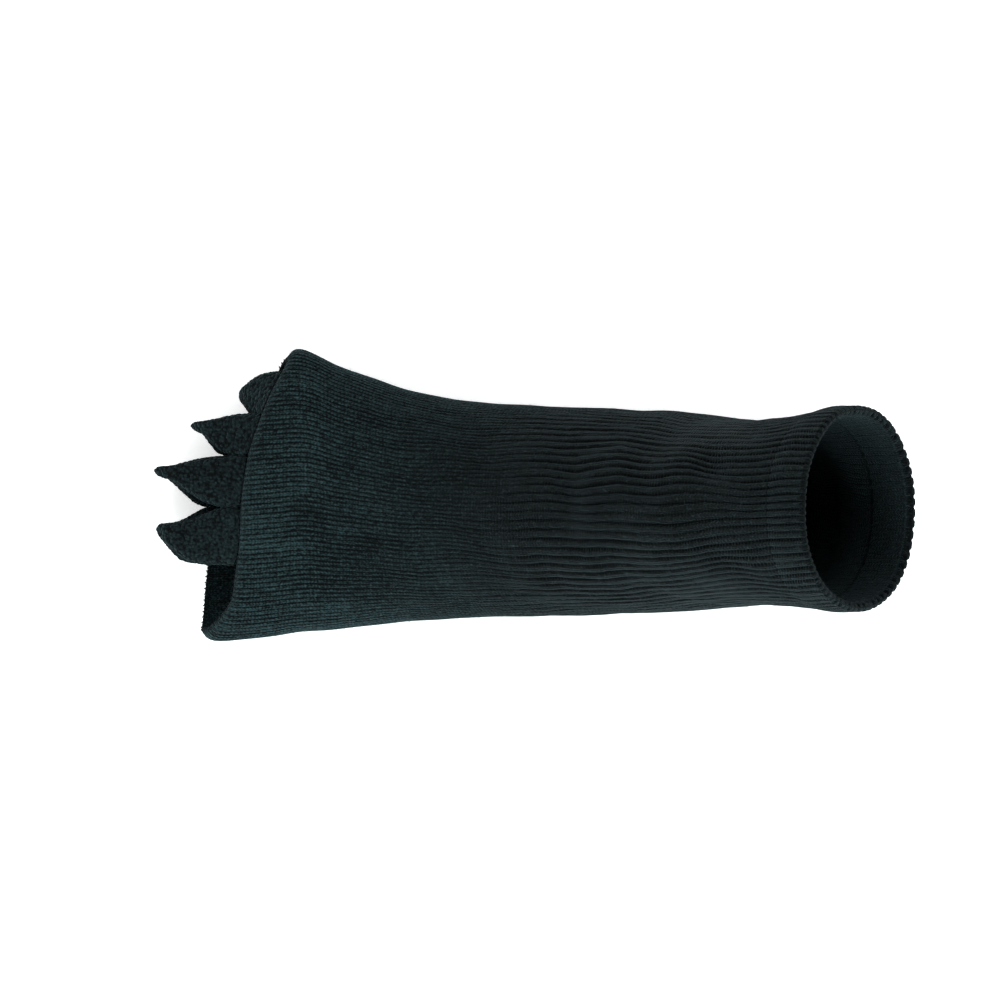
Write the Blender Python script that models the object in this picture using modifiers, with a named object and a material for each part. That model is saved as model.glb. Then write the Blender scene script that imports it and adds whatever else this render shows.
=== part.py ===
"""Toe sock for the right foot: a knitted tube with four padded toe separators.

Metres, Z up. The toes point along -X, the little toe is on the +Y side and the shin leans
back along +X. The origin lies on the inner face of the sole, under the heel.
"""

import math
from collections import namedtuple

import bmesh
import bpy
import numpy as np

MM = 0.001

# Sizes of the whole sock as it is worn
LENGTH = 226.0 * MM  # big toe rim to the back of the cuff
HEIGHT = 137.0 * MM  # floor of the foot to the front of the cuff
WIDTH = 91.0 * MM  # across the ball of the foot

# Knit
WALL = 2.2 * MM
WELT_WALL = 3.0 * MM
WELT_STEP = 0.5 * MM  # how far the turned welt stands out of the ribs
RIB_COUNT = 72
RIB_DEPTH = 0.7 * MM
SEAM_GAP = 0.3 * MM  # left between two pieces that are sewn to each other

# Grid of the tube
FOOT_COLUMNS = 72
RIB_COLUMNS = 2 * RIB_COUNT
FOOT_STEPS = (0.0, 0.012, 0.03, 0.07, 0.15, 0.25, 0.37, 0.51, 0.66, 0.83, 1.0)
ANKLE_STEPS = (0.0, 0.16, 0.30, 0.41, 0.51, 0.61, 0.72, 0.86, 1.0)
WELT_STEPS = (0.0, 0.10, 0.86, 1.0)

# Places along the sock, 0 at the toe corner and 1 at the cuff
JOIN_PLACE = 0.50
WELT_PLACE = 0.931
RIBS_START = 0.50
RIBS_FULL = 0.66

# Toe rim
RIM_TUCK = 2.6 * MM  # how far the rim turns in
RIM_TUCK_REACH = 4.0 * MM

# Separators
PAD_WAIST = 3.4 * MM
PAD_STEP = 0.6 * MM  # how far a separator lies below the rim

# Each section runs from a point on top to a point on the sole. The x values are shares of
# LENGTH, the z values shares of HEIGHT, half and side shares of WIDTH. The rounds are the
# powers of the outline, ridge lifts the big toe side, gather draws the wales to the top.
Section = namedtuple(
    "Section", "name top_x top_z sole_x sole_z half side top_round sole_round ridge gather"
)
SECTIONS = (
    Section("toe corner", -0.778, 0.172, -0.785, -0.016, 0.512, 0.056, 2.6, 3.2, 0.10, -0.05),
    Section("toe line", -0.725, 0.190, -0.766, -0.016, 0.516, 0.058, 2.5, 3.2, 0.12, -0.05),
    Section("toe joint", -0.676, 0.215, -0.703, -0.016, 0.511, 0.067, 2.4, 3.2, 0.14, -0.05),
    Section("ball", -0.629, 0.241, -0.642, -0.016, 0.500, 0.074, 2.3, 3.0, 0.15, -0.04),
    Section("ball back", -0.579, 0.270, -0.577, -0.015, 0.462, 0.050, 2.2, 2.8, 0.14, -0.02),
    Section("waist", -0.494, 0.332, -0.455, -0.004, 0.405, 0.020, 2.1, 2.6, 0.12, 0.02),
    Section("arch", -0.409, 0.416, -0.332, 0.004, 0.376, 0.007, 2.1, 2.5, 0.10, 0.08),
    Section("instep", -0.327, 0.522, -0.203, -0.006, 0.366, 0.003, 2.1, 2.4, 0.07, 0.14),
    Section("crease", -0.265, 0.602, -0.080, -0.016, 0.357, 0.002, 2.1, 2.3, 0.05, 0.19),
    Section("heel pad", -0.219, 0.664, 0.028, -0.015, 0.346, 0.001, 2.1, 2.3, 0.03, 0.22),
    Section("heel low", -0.176, 0.715, 0.108, 0.036, 0.328, -0.002, 2.1, 2.2, 0.02, 0.23),
    Section("heel back", -0.133, 0.770, 0.135, 0.161, 0.320, 0.000, 2.1, 2.2, 0.00, 0.23),
    Section("heel top", -0.084, 0.828, 0.136, 0.299, 0.318, 0.001, 2.1, 2.2, 0.00, 0.23),
    Section("tendon", -0.036, 0.891, 0.150, 0.412, 0.324, 0.004, 2.1, 2.1, 0.00, 0.22),
    Section("welt line", -0.004, 0.934, 0.169, 0.482, 0.332, 0.009, 2.1, 2.1, 0.00, 0.21),
    Section("cuff", 0.043, 1.000, 0.213, 0.609, 0.343, 0.014, 2.1, 2.1, 0.00, 0.20),
)

# The toe rim: how far forward it reaches at each share of the girth, from the middle of the
# sole over the big toe side, the top and the little toe side. The x values are shares of LENGTH.
Rim = namedtuple("Rim", "name girth x")
RIM = (
    Rim("sole middle", 0.00, -0.767),
    Rim("sole under big toe", 0.14, -0.778),
    Rim("big toe side", 0.25, -0.783),
    Rim("big toe upper side", 0.29, -0.772),
    Rim("big toe arch", 0.345, -0.739),
    Rim("second toe", 0.43, -0.728),
    Rim("top middle", 0.50, -0.725),
    Rim("third toe", 0.56, -0.716),
    Rim("fourth toe", 0.63, -0.692),
    Rim("little toe arch", 0.70, -0.660),
    Rim("little toe side", 0.75, -0.655),
    Rim("sole at little toe", 0.82, -0.678),
    Rim("sole under fourth toe", 0.90, -0.725),
    Rim("sole middle again", 1.00, -0.767),
)

# Soft dents and swells: where they lie, how far they reach along and around the sock, both
# as shares of it, and how deep they are, as shares of WALL.
Dent = namedtuple("Dent", "name place girth along around depth")
DENTS = (
    Dent("hollow over the outer ankle", 0.830, 0.585, 0.030, 0.030, -0.65),
    Dent("swell on the front of the ankle", 0.745, 0.490, 0.045, 0.060, 0.40),
    Dent("hollow over the inner ankle", 0.850, 0.400, 0.035, 0.040, -0.35),
    Dent("fold over the instep", 0.585, 0.530, 0.022, 0.070, -0.30),
)

# Separators: the tip and the middle of the base. The x values are shares of LENGTH, the y
# values and the width shares of WIDTH, the heights at the tip shares of HEIGHT.
Separator = namedtuple("Separator", "name tip_x base_y width tip_top tip_floor")
SEPARATORS = (
    Separator("toe_separator_1", -0.846, -0.086, 0.204, 0.120, 0.018),
    Separator("toe_separator_2", -0.849, 0.109, 0.183, 0.116, 0.018),
    Separator("toe_separator_3", -0.797, 0.274, 0.148, 0.110, 0.018),
    Separator("toe_separator_4", -0.728, 0.420, 0.151, 0.104, 0.018),
)

# Stations of each separator from its tip to its base: share of its length, width as a share
# of its base width, and how far its middle moves to the little toe side as a share of it.
Station = namedtuple("Station", "separator length width shift")
STATIONS = (
    Station("toe_separator_1", 0.00, 0.10, 0.12),
    Station("toe_separator_1", 0.04, 0.21, 0.10),
    Station("toe_separator_1", 0.18, 0.42, 0.02),
    Station("toe_separator_1", 0.38, 0.66, -0.06),
    Station("toe_separator_1", 0.60, 0.85, -0.04),
    Station("toe_separator_1", 0.80, 0.97, 0.00),
    Station("toe_separator_1", 1.00, 1.00, 0.00),
    Station("toe_separator_2", 0.00, 0.08, 0.20),
    Station("toe_separator_2", 0.04, 0.16, 0.19),
    Station("toe_separator_2", 0.20, 0.29, 0.16),
    Station("toe_separator_2", 0.38, 0.54, 0.10),
    Station("toe_separator_2", 0.58, 0.82, 0.03),
    Station("toe_separator_2", 0.79, 0.97, 0.00),
    Station("toe_separator_2", 1.00, 1.00, 0.00),
    Station("toe_separator_3", 0.00, 0.08, 0.21),
    Station("toe_separator_3", 0.05, 0.17, 0.20),
    Station("toe_separator_3", 0.20, 0.32, 0.17),
    Station("toe_separator_3", 0.38, 0.60, 0.08),
    Station("toe_separator_3", 0.57, 0.86, 0.02),
    Station("toe_separator_3", 0.78, 0.98, 0.00),
    Station("toe_separator_3", 1.00, 1.00, 0.00),
    Station("toe_separator_4", 0.00, 0.14, -0.04),
    Station("toe_separator_4", 0.08, 0.32, -0.04),
    Station("toe_separator_4", 0.24, 0.55, -0.03),
    Station("toe_separator_4", 0.42, 0.77, -0.01),
    Station("toe_separator_4", 0.60, 0.92, 0.00),
    Station("toe_separator_4", 0.80, 0.99, 0.00),
    Station("toe_separator_4", 1.00, 1.00, 0.00),
)

# One side of a separator's section, from its underside to its top: height as a share of the
# whole, and how far it flares, 0 at the waist and 1 at the full width.
Flare = namedtuple("Flare", "height out")
FLARES = (
    Flare(0.02, 0.62),
    Flare(0.08, 1.00),
    Flare(0.16, 0.74),
    Flare(0.27, 0.16),
    Flare(0.50, 0.00),
    Flare(0.73, 0.16),
    Flare(0.84, 0.74),
    Flare(0.92, 1.00),
    Flare(0.98, 0.62),
)

# Linear RGB of the dyed yarn
Finish = namedtuple("Finish", "name colour roughness")
FOOT_KNIT = Finish("foot_knit", (0.0100, 0.0170, 0.0180), 0.93)
RIB_KNIT = Finish("rib_knit", (0.0095, 0.0130, 0.0138), 0.93)
WELT_KNIT = Finish("welt_knit", (0.0100, 0.0140, 0.0148), 0.93)
PAD_KNIT = Finish("pad_knit", (0.0088, 0.0150, 0.0158), 0.95)


def section_rows():
    """The section table in metres, one row per section, without the names."""
    scale = (LENGTH, HEIGHT, LENGTH, HEIGHT, WIDTH, WIDTH, 1, 1, 1, 1)
    return np.array([section[1:] for section in SECTIONS]) * scale


def section_places(rows):
    """Where each section lies along the sock, from 0 to 1, by the distance between middles."""
    middles = (rows[:, 0:2] + rows[:, 2:4]) / 2
    steps = np.linalg.norm(np.diff(middles, axis=0), axis=1)
    run = np.concatenate([[0.0], np.cumsum(steps)])
    return run / run[-1]


ROWS = section_rows()
PLACES = section_places(ROWS)
HALF_TURN = np.linspace(0.0, math.pi, 61)


def slope(index):
    """How fast the sections change at one row of the table."""
    before = max(index - 1, 0)
    after = min(index + 1, len(PLACES) - 1)
    return (ROWS[after] - ROWS[before]) / (PLACES[after] - PLACES[before])


def section_at(place):
    """The section at a place along the sock, on a smooth curve through the table."""
    index = int(np.clip(np.searchsorted(PLACES, place, side="right") - 1, 0, len(PLACES) - 2))
    gap = PLACES[index + 1] - PLACES[index]
    t = (place - PLACES[index]) / gap
    start = (2 * t**3 - 3 * t**2 + 1) * ROWS[index]
    start_slope = (t**3 - 2 * t**2 + t) * gap * slope(index)
    end = (3 * t**2 - 2 * t**3) * ROWS[index + 1]
    end_slope = (t**3 - t**2) * gap * slope(index + 1)
    return start + start_slope + end + end_slope


def half_outline(row, side):
    """Points over one half of a section, from the sole to the top; side is -1 or 1 along Y."""
    top_x, top_z, sole_x, sole_z, half, middle, top_round, sole_round, ridge, _ = row
    across = np.sin(HALF_TURN)
    height = -np.cos(HALF_TURN)
    power = np.where(height > 0, 2 / top_round, 2 / sole_round)
    across = side * np.abs(across) ** power
    height = np.sign(height) * np.abs(height) ** power
    height = np.where(height > 0, height * (1 - ridge * across), height)
    rise = (height + 1) / 2
    x = sole_x + (top_x - sole_x) * rise
    z = sole_z + (top_z - sole_z) * rise
    return np.stack([x, middle + half * across, z], axis=1)


def on_sock(girth, place):
    """A point of the outer face at a share of the girth and a place along the sock."""
    row = section_at(place)
    girth = girth % 1.0
    spread = girth + row[9] * math.sin(2 * math.pi * girth) / (2 * math.pi)
    side = -1 if girth <= 0.5 else 1
    points = half_outline(row, side)
    steps = np.linalg.norm(np.diff(points, axis=0), axis=1)
    run = np.concatenate([[0.0], np.cumsum(steps)])
    reach = run[-1] * (2 * spread if side < 0 else 2 - 2 * spread)
    return np.array([np.interp(reach, run, points[:, axis]) for axis in range(3)])


def along_step(girth, place):
    """How far the outer face moves for a small change of place, per unit of place."""
    ahead = min(place + 0.004, 1.0)
    behind = ahead - 0.008
    return (on_sock(girth, ahead) - on_sock(girth, behind)) / 0.008


def outward(girth, place):
    """The unit normal of the outer face."""
    around = on_sock(girth + 0.004, place) - on_sock(girth - 0.004, place)
    normal = np.cross(along_step(girth, place), around)
    return normal / np.linalg.norm(normal)


def dent_depth(girth, place):
    """How far the dents and swells move the face out at this point."""
    total = 0.0
    for dent in DENTS:
        along = (place - dent.place) / dent.along
        around = (girth - dent.girth) / dent.around
        total += dent.depth * WALL * math.exp(-(along**2) - around**2)
    return total


def rib_depth(column, place):
    """How deep a groove between two ribs is; every second column of the ribs is a groove."""
    fade = (place - RIBS_START) / (RIBS_FULL - RIBS_START)
    fade = min(max(fade, 0.0), 1.0)
    return -RIB_DEPTH * fade * (column % 2)


def rim_x(girth):
    """How far forward the toe rim reaches at a share of the girth."""
    shares = [rim.girth for rim in RIM]
    return LENGTH * float(np.interp(girth % 1.0, shares, [rim.x for rim in RIM]))


def rim_place(girth):
    """The place along the sock where the toe rim lies, found by halving."""
    wanted = (rim_x(girth - 0.012) + 2 * rim_x(girth) + rim_x(girth + 0.012)) / 4
    low = -0.02
    high = 0.3
    for _ in range(24):
        middle = (low + high) / 2
        if on_sock(girth, middle)[0] < wanted:
            low = middle
        else:
            high = middle
    return (low + high) / 2


def gap_place(girth, place):
    """Half the seam gap at this point, as a change of place."""
    return 0.5 * SEAM_GAP / np.linalg.norm(along_step(girth, place))


def rim_tuck(distance):
    """How far the face turns in at a distance behind the toe rim."""
    left = max(1.0 - distance / RIM_TUCK_REACH, 0.0)
    return -RIM_TUCK * (1.0 - math.sqrt(1.0 - 0.92 * left**2))


def foot_rings():
    """Rings of points over the plain foot section, from the toe rim to the ribs."""
    girths = [column / FOOT_COLUMNS for column in range(FOOT_COLUMNS)]
    starts = [rim_place(girth) for girth in girths]
    ends = [JOIN_PLACE - gap_place(girth, JOIN_PLACE) for girth in girths]
    rings = []
    for step in FOOT_STEPS:
        ring = []
        for girth, start, end in zip(girths, starts, ends):
            place = start + (end - start) * step
            distance = (place - start) * np.linalg.norm(along_step(girth, start))
            lift = dent_depth(girth, place) + rim_tuck(distance)
            ring.append(on_sock(girth, place) + lift * outward(girth, place))
        rings.append(ring)
    return rings


def ribbed_rings(start_place, end_place, end_gap, steps, lifts):
    """Rings of points over a ribbed section; lifts holds how far each ring stands out."""
    girths = [column / RIB_COLUMNS for column in range(RIB_COLUMNS)]
    rings = []
    for step, raised in zip(steps, lifts):
        ring = []
        for column, girth in enumerate(girths):
            start = start_place + gap_place(girth, start_place)
            end = end_place - end_gap * gap_place(girth, end_place)
            place = start + (end - start) * step
            lift = raised + dent_depth(girth, place) + rib_depth(column, place)
            ring.append(on_sock(girth, place) + lift * outward(girth, place))
        rings.append(ring)
    return rings


def tube_mesh(name, rings):
    """An open tube of quads through rings of equally many points, facing out."""
    mesh = bpy.data.meshes.new(name)
    build = bmesh.new()
    verts = [[build.verts.new(point) for point in ring] for ring in rings]
    count = len(rings[0])
    for near, far in zip(verts, verts[1:]):
        for column in range(count):
            after = (column + 1) % count
            build.faces.new((near[column], near[after], far[after], far[column]))
    bmesh.ops.recalc_face_normals(build, faces=build.faces)
    build.to_mesh(mesh)
    build.free()
    return mesh


def outward_faces(mesh):
    """Turns the mesh so that its first face looks away from the middle of the sock."""
    face = mesh.polygons[0]
    middle = sum((vert.co for vert in mesh.vertices), mesh.vertices[0].co * 0) / len(mesh.vertices)
    if face.normal.dot(face.center - middle) < 0:
        mesh.flip_normals()


def make_material(finish):
    """A plain cloth material."""
    material = bpy.data.materials.new(finish.name)
    material.use_nodes = True
    shader = material.node_tree.nodes["Principled BSDF"]
    shader.inputs["Base Color"].default_value = (*finish.colour, 1.0)
    shader.inputs["Roughness"].default_value = finish.roughness
    shader.inputs["Sheen Weight"].default_value = 0.3
    return material


def add_object(name, mesh, finish, collection):
    """Puts a mesh in the scene with its finish and smooth shading."""
    mesh.materials.append(make_material(finish))
    mesh.shade_smooth()
    node = bpy.data.objects.new(name, mesh)
    collection.objects.link(node)
    return node


def add_wall(node, thickness):
    """Gives an open surface its knitted thickness on the inside."""
    wall = node.modifiers.new("knitted wall", "SOLIDIFY")
    wall.thickness = thickness
    wall.offset = -1.0
    wall.use_even_offset = False


def build_foot_tube(collection):
    """The plain knitted section from the toe rim over the ball and arch to the instep."""
    mesh = tube_mesh("foot_tube", foot_rings())
    outward_faces(mesh)
    add_wall(add_object("foot_tube", mesh, FOOT_KNIT, collection), WALL)


def build_ankle_rib(collection):
    """The ribbed section round the heel and ankle."""
    lifts = [0.0] * len(ANKLE_STEPS)
    rings = ribbed_rings(JOIN_PLACE, WELT_PLACE, 1.0, ANKLE_STEPS, lifts)
    mesh = tube_mesh("ankle_rib", rings)
    outward_faces(mesh)
    add_wall(add_object("ankle_rib", mesh, RIB_KNIT, collection), WALL)


def build_cuff_welt(collection):
    """The turned band at the top of the sock, a little thicker than the ribs."""
    lifts = (0.2 * WELT_STEP, WELT_STEP, WELT_STEP, 0.1 * WELT_STEP)
    rings = ribbed_rings(WELT_PLACE, 1.0, 0.0, WELT_STEPS, lifts)
    mesh = tube_mesh("cuff_welt", rings)
    outward_faces(mesh)
    add_wall(add_object("cuff_welt", mesh, WELT_KNIT, collection), WELT_WALL)


def rim_line(upper):
    """The toe rim over its top or its sole as y, x and z, in the order of y."""
    points = []
    for column in range(FOOT_COLUMNS):
        girth = column / FOOT_COLUMNS
        if (0.25 < girth < 0.75) != upper:
            continue
        place = rim_place(girth)
        points.append(on_sock(girth, place) + rim_tuck(0.0) * outward(girth, place))
    points = np.array(sorted(points, key=lambda point: point[1]))
    return points[:, 1], points[:, 0], points[:, 2]


def separator_ring(separator, station, top_line, sole_line):
    """One closed section of a separator, hourglass-shaped when seen from the toes."""
    base_width = separator.width * WIDTH - SEAM_GAP
    full = 0.5 * base_width * station.width
    waist = min(0.5 * PAD_WAIST, full)
    middle = separator.base_y * WIDTH + station.shift * base_width
    sides = [(flare.height, waist + (full - waist) * flare.out) for flare in FLARES]
    loop = [(0.0, 0.0)]
    loop += [(height, out) for height, out in sides]
    loop += [(1.0, 0.0)]
    loop += [(height, -out) for height, out in reversed(sides)]
    shrink = 0.12 * max(1.0 - station.length / 0.05, 0.0)
    ring = []
    for height, out in loop:
        y = middle + out
        top_x = np.interp(y, top_line[0], top_line[1])
        sole_x = np.interp(y, sole_line[0], sole_line[1])
        base_x = sole_x + (top_x - sole_x) * height - SEAM_GAP
        tip_x = separator.tip_x * LENGTH
        x = tip_x + (base_x - tip_x) * station.length
        rim_top = np.interp(y, top_line[0], top_line[2]) - PAD_STEP
        rim_sole = np.interp(y, sole_line[0], sole_line[2]) + PAD_STEP
        top = separator.tip_top * HEIGHT * (1 - station.length) + rim_top * station.length
        sole = separator.tip_floor * HEIGHT * (1 - station.length) + rim_sole * station.length
        level = shrink + (1 - 2 * shrink) * height
        ring.append((x, y, sole + (top - sole) * level))
    return ring


def build_separator(separator, top_line, sole_line, collection):
    """A stuffed pad between two toes, from its round tip back to the toe rim."""
    stations = [station for station in STATIONS if station.separator == separator.name]
    rings = [separator_ring(separator, station, top_line, sole_line) for station in stations]
    build = bmesh.new()
    verts = [[build.verts.new(point) for point in ring] for ring in rings]
    count = len(rings[0])
    for near, far in zip(verts, verts[1:]):
        for column in range(count):
            after = (column + 1) % count
            build.faces.new((near[column], near[after], far[after], far[column]))
    build.faces.new(verts[0])
    build.faces.new(verts[-1])
    bmesh.ops.recalc_face_normals(build, faces=build.faces)
    mesh = bpy.data.meshes.new(separator.name)
    build.to_mesh(mesh)
    build.free()
    add_object(separator.name, mesh, PAD_KNIT, collection)


def clear_scene():
    """Removes what the start-up file holds."""
    for node in list(bpy.data.objects):
        bpy.data.objects.remove(node, do_unlink=True)


def main():
    """Builds the sock piece by piece."""
    clear_scene()
    collection = bpy.data.collections.new("toe_sock")
    bpy.context.scene.collection.children.link(collection)
    build_foot_tube(collection)
    build_ankle_rib(collection)
    build_cuff_welt(collection)
    top_line = rim_line(True)
    sole_line = rim_line(False)
    for separator in SEPARATORS:
        build_separator(separator, top_line, sole_line, collection)


main()
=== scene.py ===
"""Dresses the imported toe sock: jersey foot, ribbed ankle, turned cuff and four padded separators.

Every size is in metres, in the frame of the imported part: toes along -X, little toe side +Y,
leg leaning back along +X, origin on the inner face of the sole under the heel.
"""

from __future__ import annotations

import logging
import math
from dataclasses import dataclass, field
from enum import Enum

import bpy
import numpy as np
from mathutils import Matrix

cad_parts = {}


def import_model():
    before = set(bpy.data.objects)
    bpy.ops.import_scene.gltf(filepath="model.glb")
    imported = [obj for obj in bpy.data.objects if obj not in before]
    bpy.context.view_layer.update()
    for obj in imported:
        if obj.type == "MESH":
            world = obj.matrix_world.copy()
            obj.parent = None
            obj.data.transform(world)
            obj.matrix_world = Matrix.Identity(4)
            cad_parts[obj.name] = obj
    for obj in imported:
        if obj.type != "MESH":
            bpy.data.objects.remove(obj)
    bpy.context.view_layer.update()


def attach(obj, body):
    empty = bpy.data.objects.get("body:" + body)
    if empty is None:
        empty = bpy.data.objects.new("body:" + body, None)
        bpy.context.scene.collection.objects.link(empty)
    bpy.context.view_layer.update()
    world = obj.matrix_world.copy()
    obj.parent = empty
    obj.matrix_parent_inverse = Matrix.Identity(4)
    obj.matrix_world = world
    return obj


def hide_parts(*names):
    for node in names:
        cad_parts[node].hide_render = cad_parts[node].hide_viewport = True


MM = 0.001
MOSS_STITCH = 1.05 * MM
FIRST_PLACE = -0.02  # a little in front of the toe corner
FIBRE_GRAIN = 2100.0
SPECK_GRAIN = 1300.0
PATCH_GRAIN = 34.0
WEAR_GRAIN = 190.0
DRIFT_GRAIN = 260.0
LOG = logging.getLogger("toe_sock")

Array = np.ndarray
Socket = bpy.types.NodeSocket


class Stitch(Enum):
    """The two knits of the sock."""

    JERSEY = "jersey"
    MOSS = "moss"


@dataclass(frozen=True)
class Section:
    """One section of the tube, from a point on top to a point on the sole."""

    name: str
    top_x: float
    top_z: float
    sole_x: float
    sole_z: float
    half: float
    side: float
    top_round: float
    sole_round: float
    ridge: float
    gather: float


@dataclass(frozen=True)
class Dent:
    """A soft dent or swell of the tube, its reach as shares and its depth in walls."""

    place: float
    girth: float
    along: float
    around: float
    depth: float

    def swell(self, girths: Array, places: Array) -> Array:
        """How much of the depth reaches each spot.

        Args:
            girths: shares of the girth.
            places: places along the sock.

        Returns:
            The depth, fading away from the middle.
        """
        lengthwise = (places - self.place) / self.along
        sideways = (girths - self.girth) / self.around
        return self.depth * np.exp(-(lengthwise**2) - sideways**2)


SECTIONS = (
    Section("toe corner", -0.778, 0.172, -0.785, -0.016, 0.512, 0.056, 2.6, 3.2, 0.10, -0.05),
    Section("toe line", -0.725, 0.190, -0.766, -0.016, 0.516, 0.058, 2.5, 3.2, 0.12, -0.05),
    Section("toe joint", -0.676, 0.215, -0.703, -0.016, 0.511, 0.067, 2.4, 3.2, 0.14, -0.05),
    Section("ball", -0.629, 0.241, -0.642, -0.016, 0.500, 0.074, 2.3, 3.0, 0.15, -0.04),
    Section("ball back", -0.579, 0.270, -0.577, -0.015, 0.462, 0.050, 2.2, 2.8, 0.14, -0.02),
    Section("waist", -0.494, 0.332, -0.455, -0.004, 0.405, 0.020, 2.1, 2.6, 0.12, 0.02),
    Section("arch", -0.409, 0.416, -0.332, 0.004, 0.376, 0.007, 2.1, 2.5, 0.10, 0.08),
    Section("instep", -0.327, 0.522, -0.203, -0.006, 0.366, 0.003, 2.1, 2.4, 0.07, 0.14),
    Section("crease", -0.265, 0.602, -0.080, -0.016, 0.357, 0.002, 2.1, 2.3, 0.05, 0.19),
    Section("heel pad", -0.219, 0.664, 0.028, -0.015, 0.346, 0.001, 2.1, 2.3, 0.03, 0.22),
    Section("heel low", -0.176, 0.715, 0.108, 0.036, 0.328, -0.002, 2.1, 2.2, 0.02, 0.23),
    Section("heel back", -0.133, 0.770, 0.135, 0.161, 0.320, 0.000, 2.1, 2.2, 0.00, 0.23),
    Section("heel top", -0.084, 0.828, 0.136, 0.299, 0.318, 0.001, 2.1, 2.2, 0.00, 0.23),
    Section("tendon", -0.036, 0.891, 0.150, 0.412, 0.324, 0.004, 2.1, 2.1, 0.00, 0.22),
    Section("welt line", -0.004, 0.934, 0.169, 0.482, 0.332, 0.009, 2.1, 2.1, 0.00, 0.21),
    Section("cuff", 0.043, 1.000, 0.213, 0.609, 0.343, 0.014, 2.1, 2.1, 0.00, 0.20),
)

RIM_GIRTHS = (0.00, 0.14, 0.25, 0.29, 0.345, 0.43, 0.50, 0.56, 0.63, 0.70, 0.75, 0.82, 0.90, 1.00)
RIM_FORWARD = (
    -0.767, -0.778, -0.783, -0.772, -0.739, -0.728, -0.725,
    -0.716, -0.692, -0.660, -0.655, -0.678, -0.725, -0.767,
)

DENTS = (
    Dent(0.830, 0.585, 0.030, 0.030, -0.65),
    Dent(0.745, 0.490, 0.045, 0.060, 0.40),
    Dent(0.850, 0.400, 0.035, 0.040, -0.35),
    Dent(0.585, 0.530, 0.022, 0.070, -0.30),
)

# Where the ribs spread round the ankle joint, as shares of the girth.
RIB_SPREADS = (
    Dent(0.80, 0.56, 0.05, 0.045, 0.006),
    Dent(0.79, 0.44, 0.05, 0.050, -0.006),
)


class NodeBuilder:
    """Adds and links nodes of a shader tree or a geometry tree."""

    def __init__(self, tree: bpy.types.NodeTree, math_kind: str) -> None:
        """Keeps the tree.

        Args:
            tree: the node tree to build in.
            math_kind: the name of the tree's math node type.
        """
        self.tree = tree
        self.math_kind = math_kind

    def add(self, kind: str, **settings: object) -> bpy.types.Node:
        """Adds a node.

        Args:
            kind: the node's type name.
            settings: properties to set on it.

        Returns:
            The new node.
        """
        node = self.tree.nodes.new(kind)
        for name, value in settings.items():
            setattr(node, name, value)
        return node

    def feed(self, socket: Socket, value: object) -> None:
        """Links a socket to an input, or sets the input to a constant.

        Args:
            socket: the input socket.
            value: an output socket, a number or a tuple.
        """
        if isinstance(value, bpy.types.NodeSocket):
            self.tree.links.new(value, socket)
        else:
            socket.default_value = value

    def math(self, operation: str, *values: object) -> Socket:
        """Adds one math node.

        Args:
            operation: the operation's name.
            values: what its inputs take.

        Returns:
            The node's result.
        """
        node = self.add(self.math_kind, operation=operation)
        for socket, value in zip(node.inputs, values):
            self.feed(socket, value)
        return node.outputs[0]


def geometry_tree(name: str, inputs: dict[str, float]) -> tuple[NodeBuilder, bpy.types.Node]:
    """Starts a geometry tree with a geometry input, a material input and named numbers.

    Args:
        name: the tree's name.
        inputs: the named number inputs with their values.

    Returns:
        The builder of the tree and its group input node.
    """
    tree = bpy.data.node_groups.new(name, "GeometryNodeTree")
    face = tree.interface
    face.new_socket("Geometry", in_out="INPUT", socket_type="NodeSocketGeometry")
    face.new_socket("Yarn", in_out="INPUT", socket_type="NodeSocketMaterial")
    for label, value in inputs.items():
        socket = face.new_socket(label, in_out="INPUT", socket_type="NodeSocketFloat")
        socket.default_value = value
    face.new_socket("Geometry", in_out="OUTPUT", socket_type="NodeSocketGeometry")
    nodes = NodeBuilder(tree, "ShaderNodeMath")
    return nodes, nodes.add("NodeGroupInput")


def close_tree(nodes: NodeBuilder, source: bpy.types.Node, shape: Socket) -> None:
    """Ends a geometry tree with Realize Instances and Set Material.

    Args:
        nodes: the builder of the tree.
        source: its group input node.
        shape: the geometry to hand over.
    """
    real = nodes.add("GeometryNodeRealizeInstances")
    nodes.feed(real.inputs["Geometry"], shape)
    dyed = nodes.add("GeometryNodeSetMaterial")
    nodes.feed(dyed.inputs["Geometry"], real.outputs["Geometry"])
    nodes.feed(dyed.inputs["Material"], source.outputs["Yarn"])
    nodes.feed(nodes.add("NodeGroupOutput").inputs["Geometry"], dyed.outputs["Geometry"])


def grow(
    base: bpy.types.Object, tree: bpy.types.NodeTree, yarn: bpy.types.Material, sizes: dict[str, float]
) -> bpy.types.Object:
    """Runs a geometry tree on an object and keeps the result as a plain mesh.

    Args:
        base: the object that the tree starts from; it is removed.
        tree: the geometry tree.
        yarn: the material of the result.
        sizes: the tree's named numbers.

    Returns:
        A new object with the same name.
    """
    modifier = base.modifiers.new("knit", "NODES")
    modifier.node_group = tree
    for item in tree.interface.items_tree:
        if item.in_out != "INPUT":
            continue
        if item.name == "Yarn":
            modifier[item.identifier] = yarn
        elif item.name in sizes:
            modifier[item.identifier] = sizes[item.name]
    graph = bpy.context.evaluated_depsgraph_get()
    mesh = bpy.data.meshes.new_from_object(base.evaluated_get(graph))
    name = base.name
    bpy.data.objects.remove(base, do_unlink=True)
    mesh.name = name
    mesh.materials.clear()
    mesh.materials.append(yarn)
    mesh.polygons.foreach_set("material_index", np.zeros(len(mesh.polygons), np.int32))
    return place_mesh(name, mesh)


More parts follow.
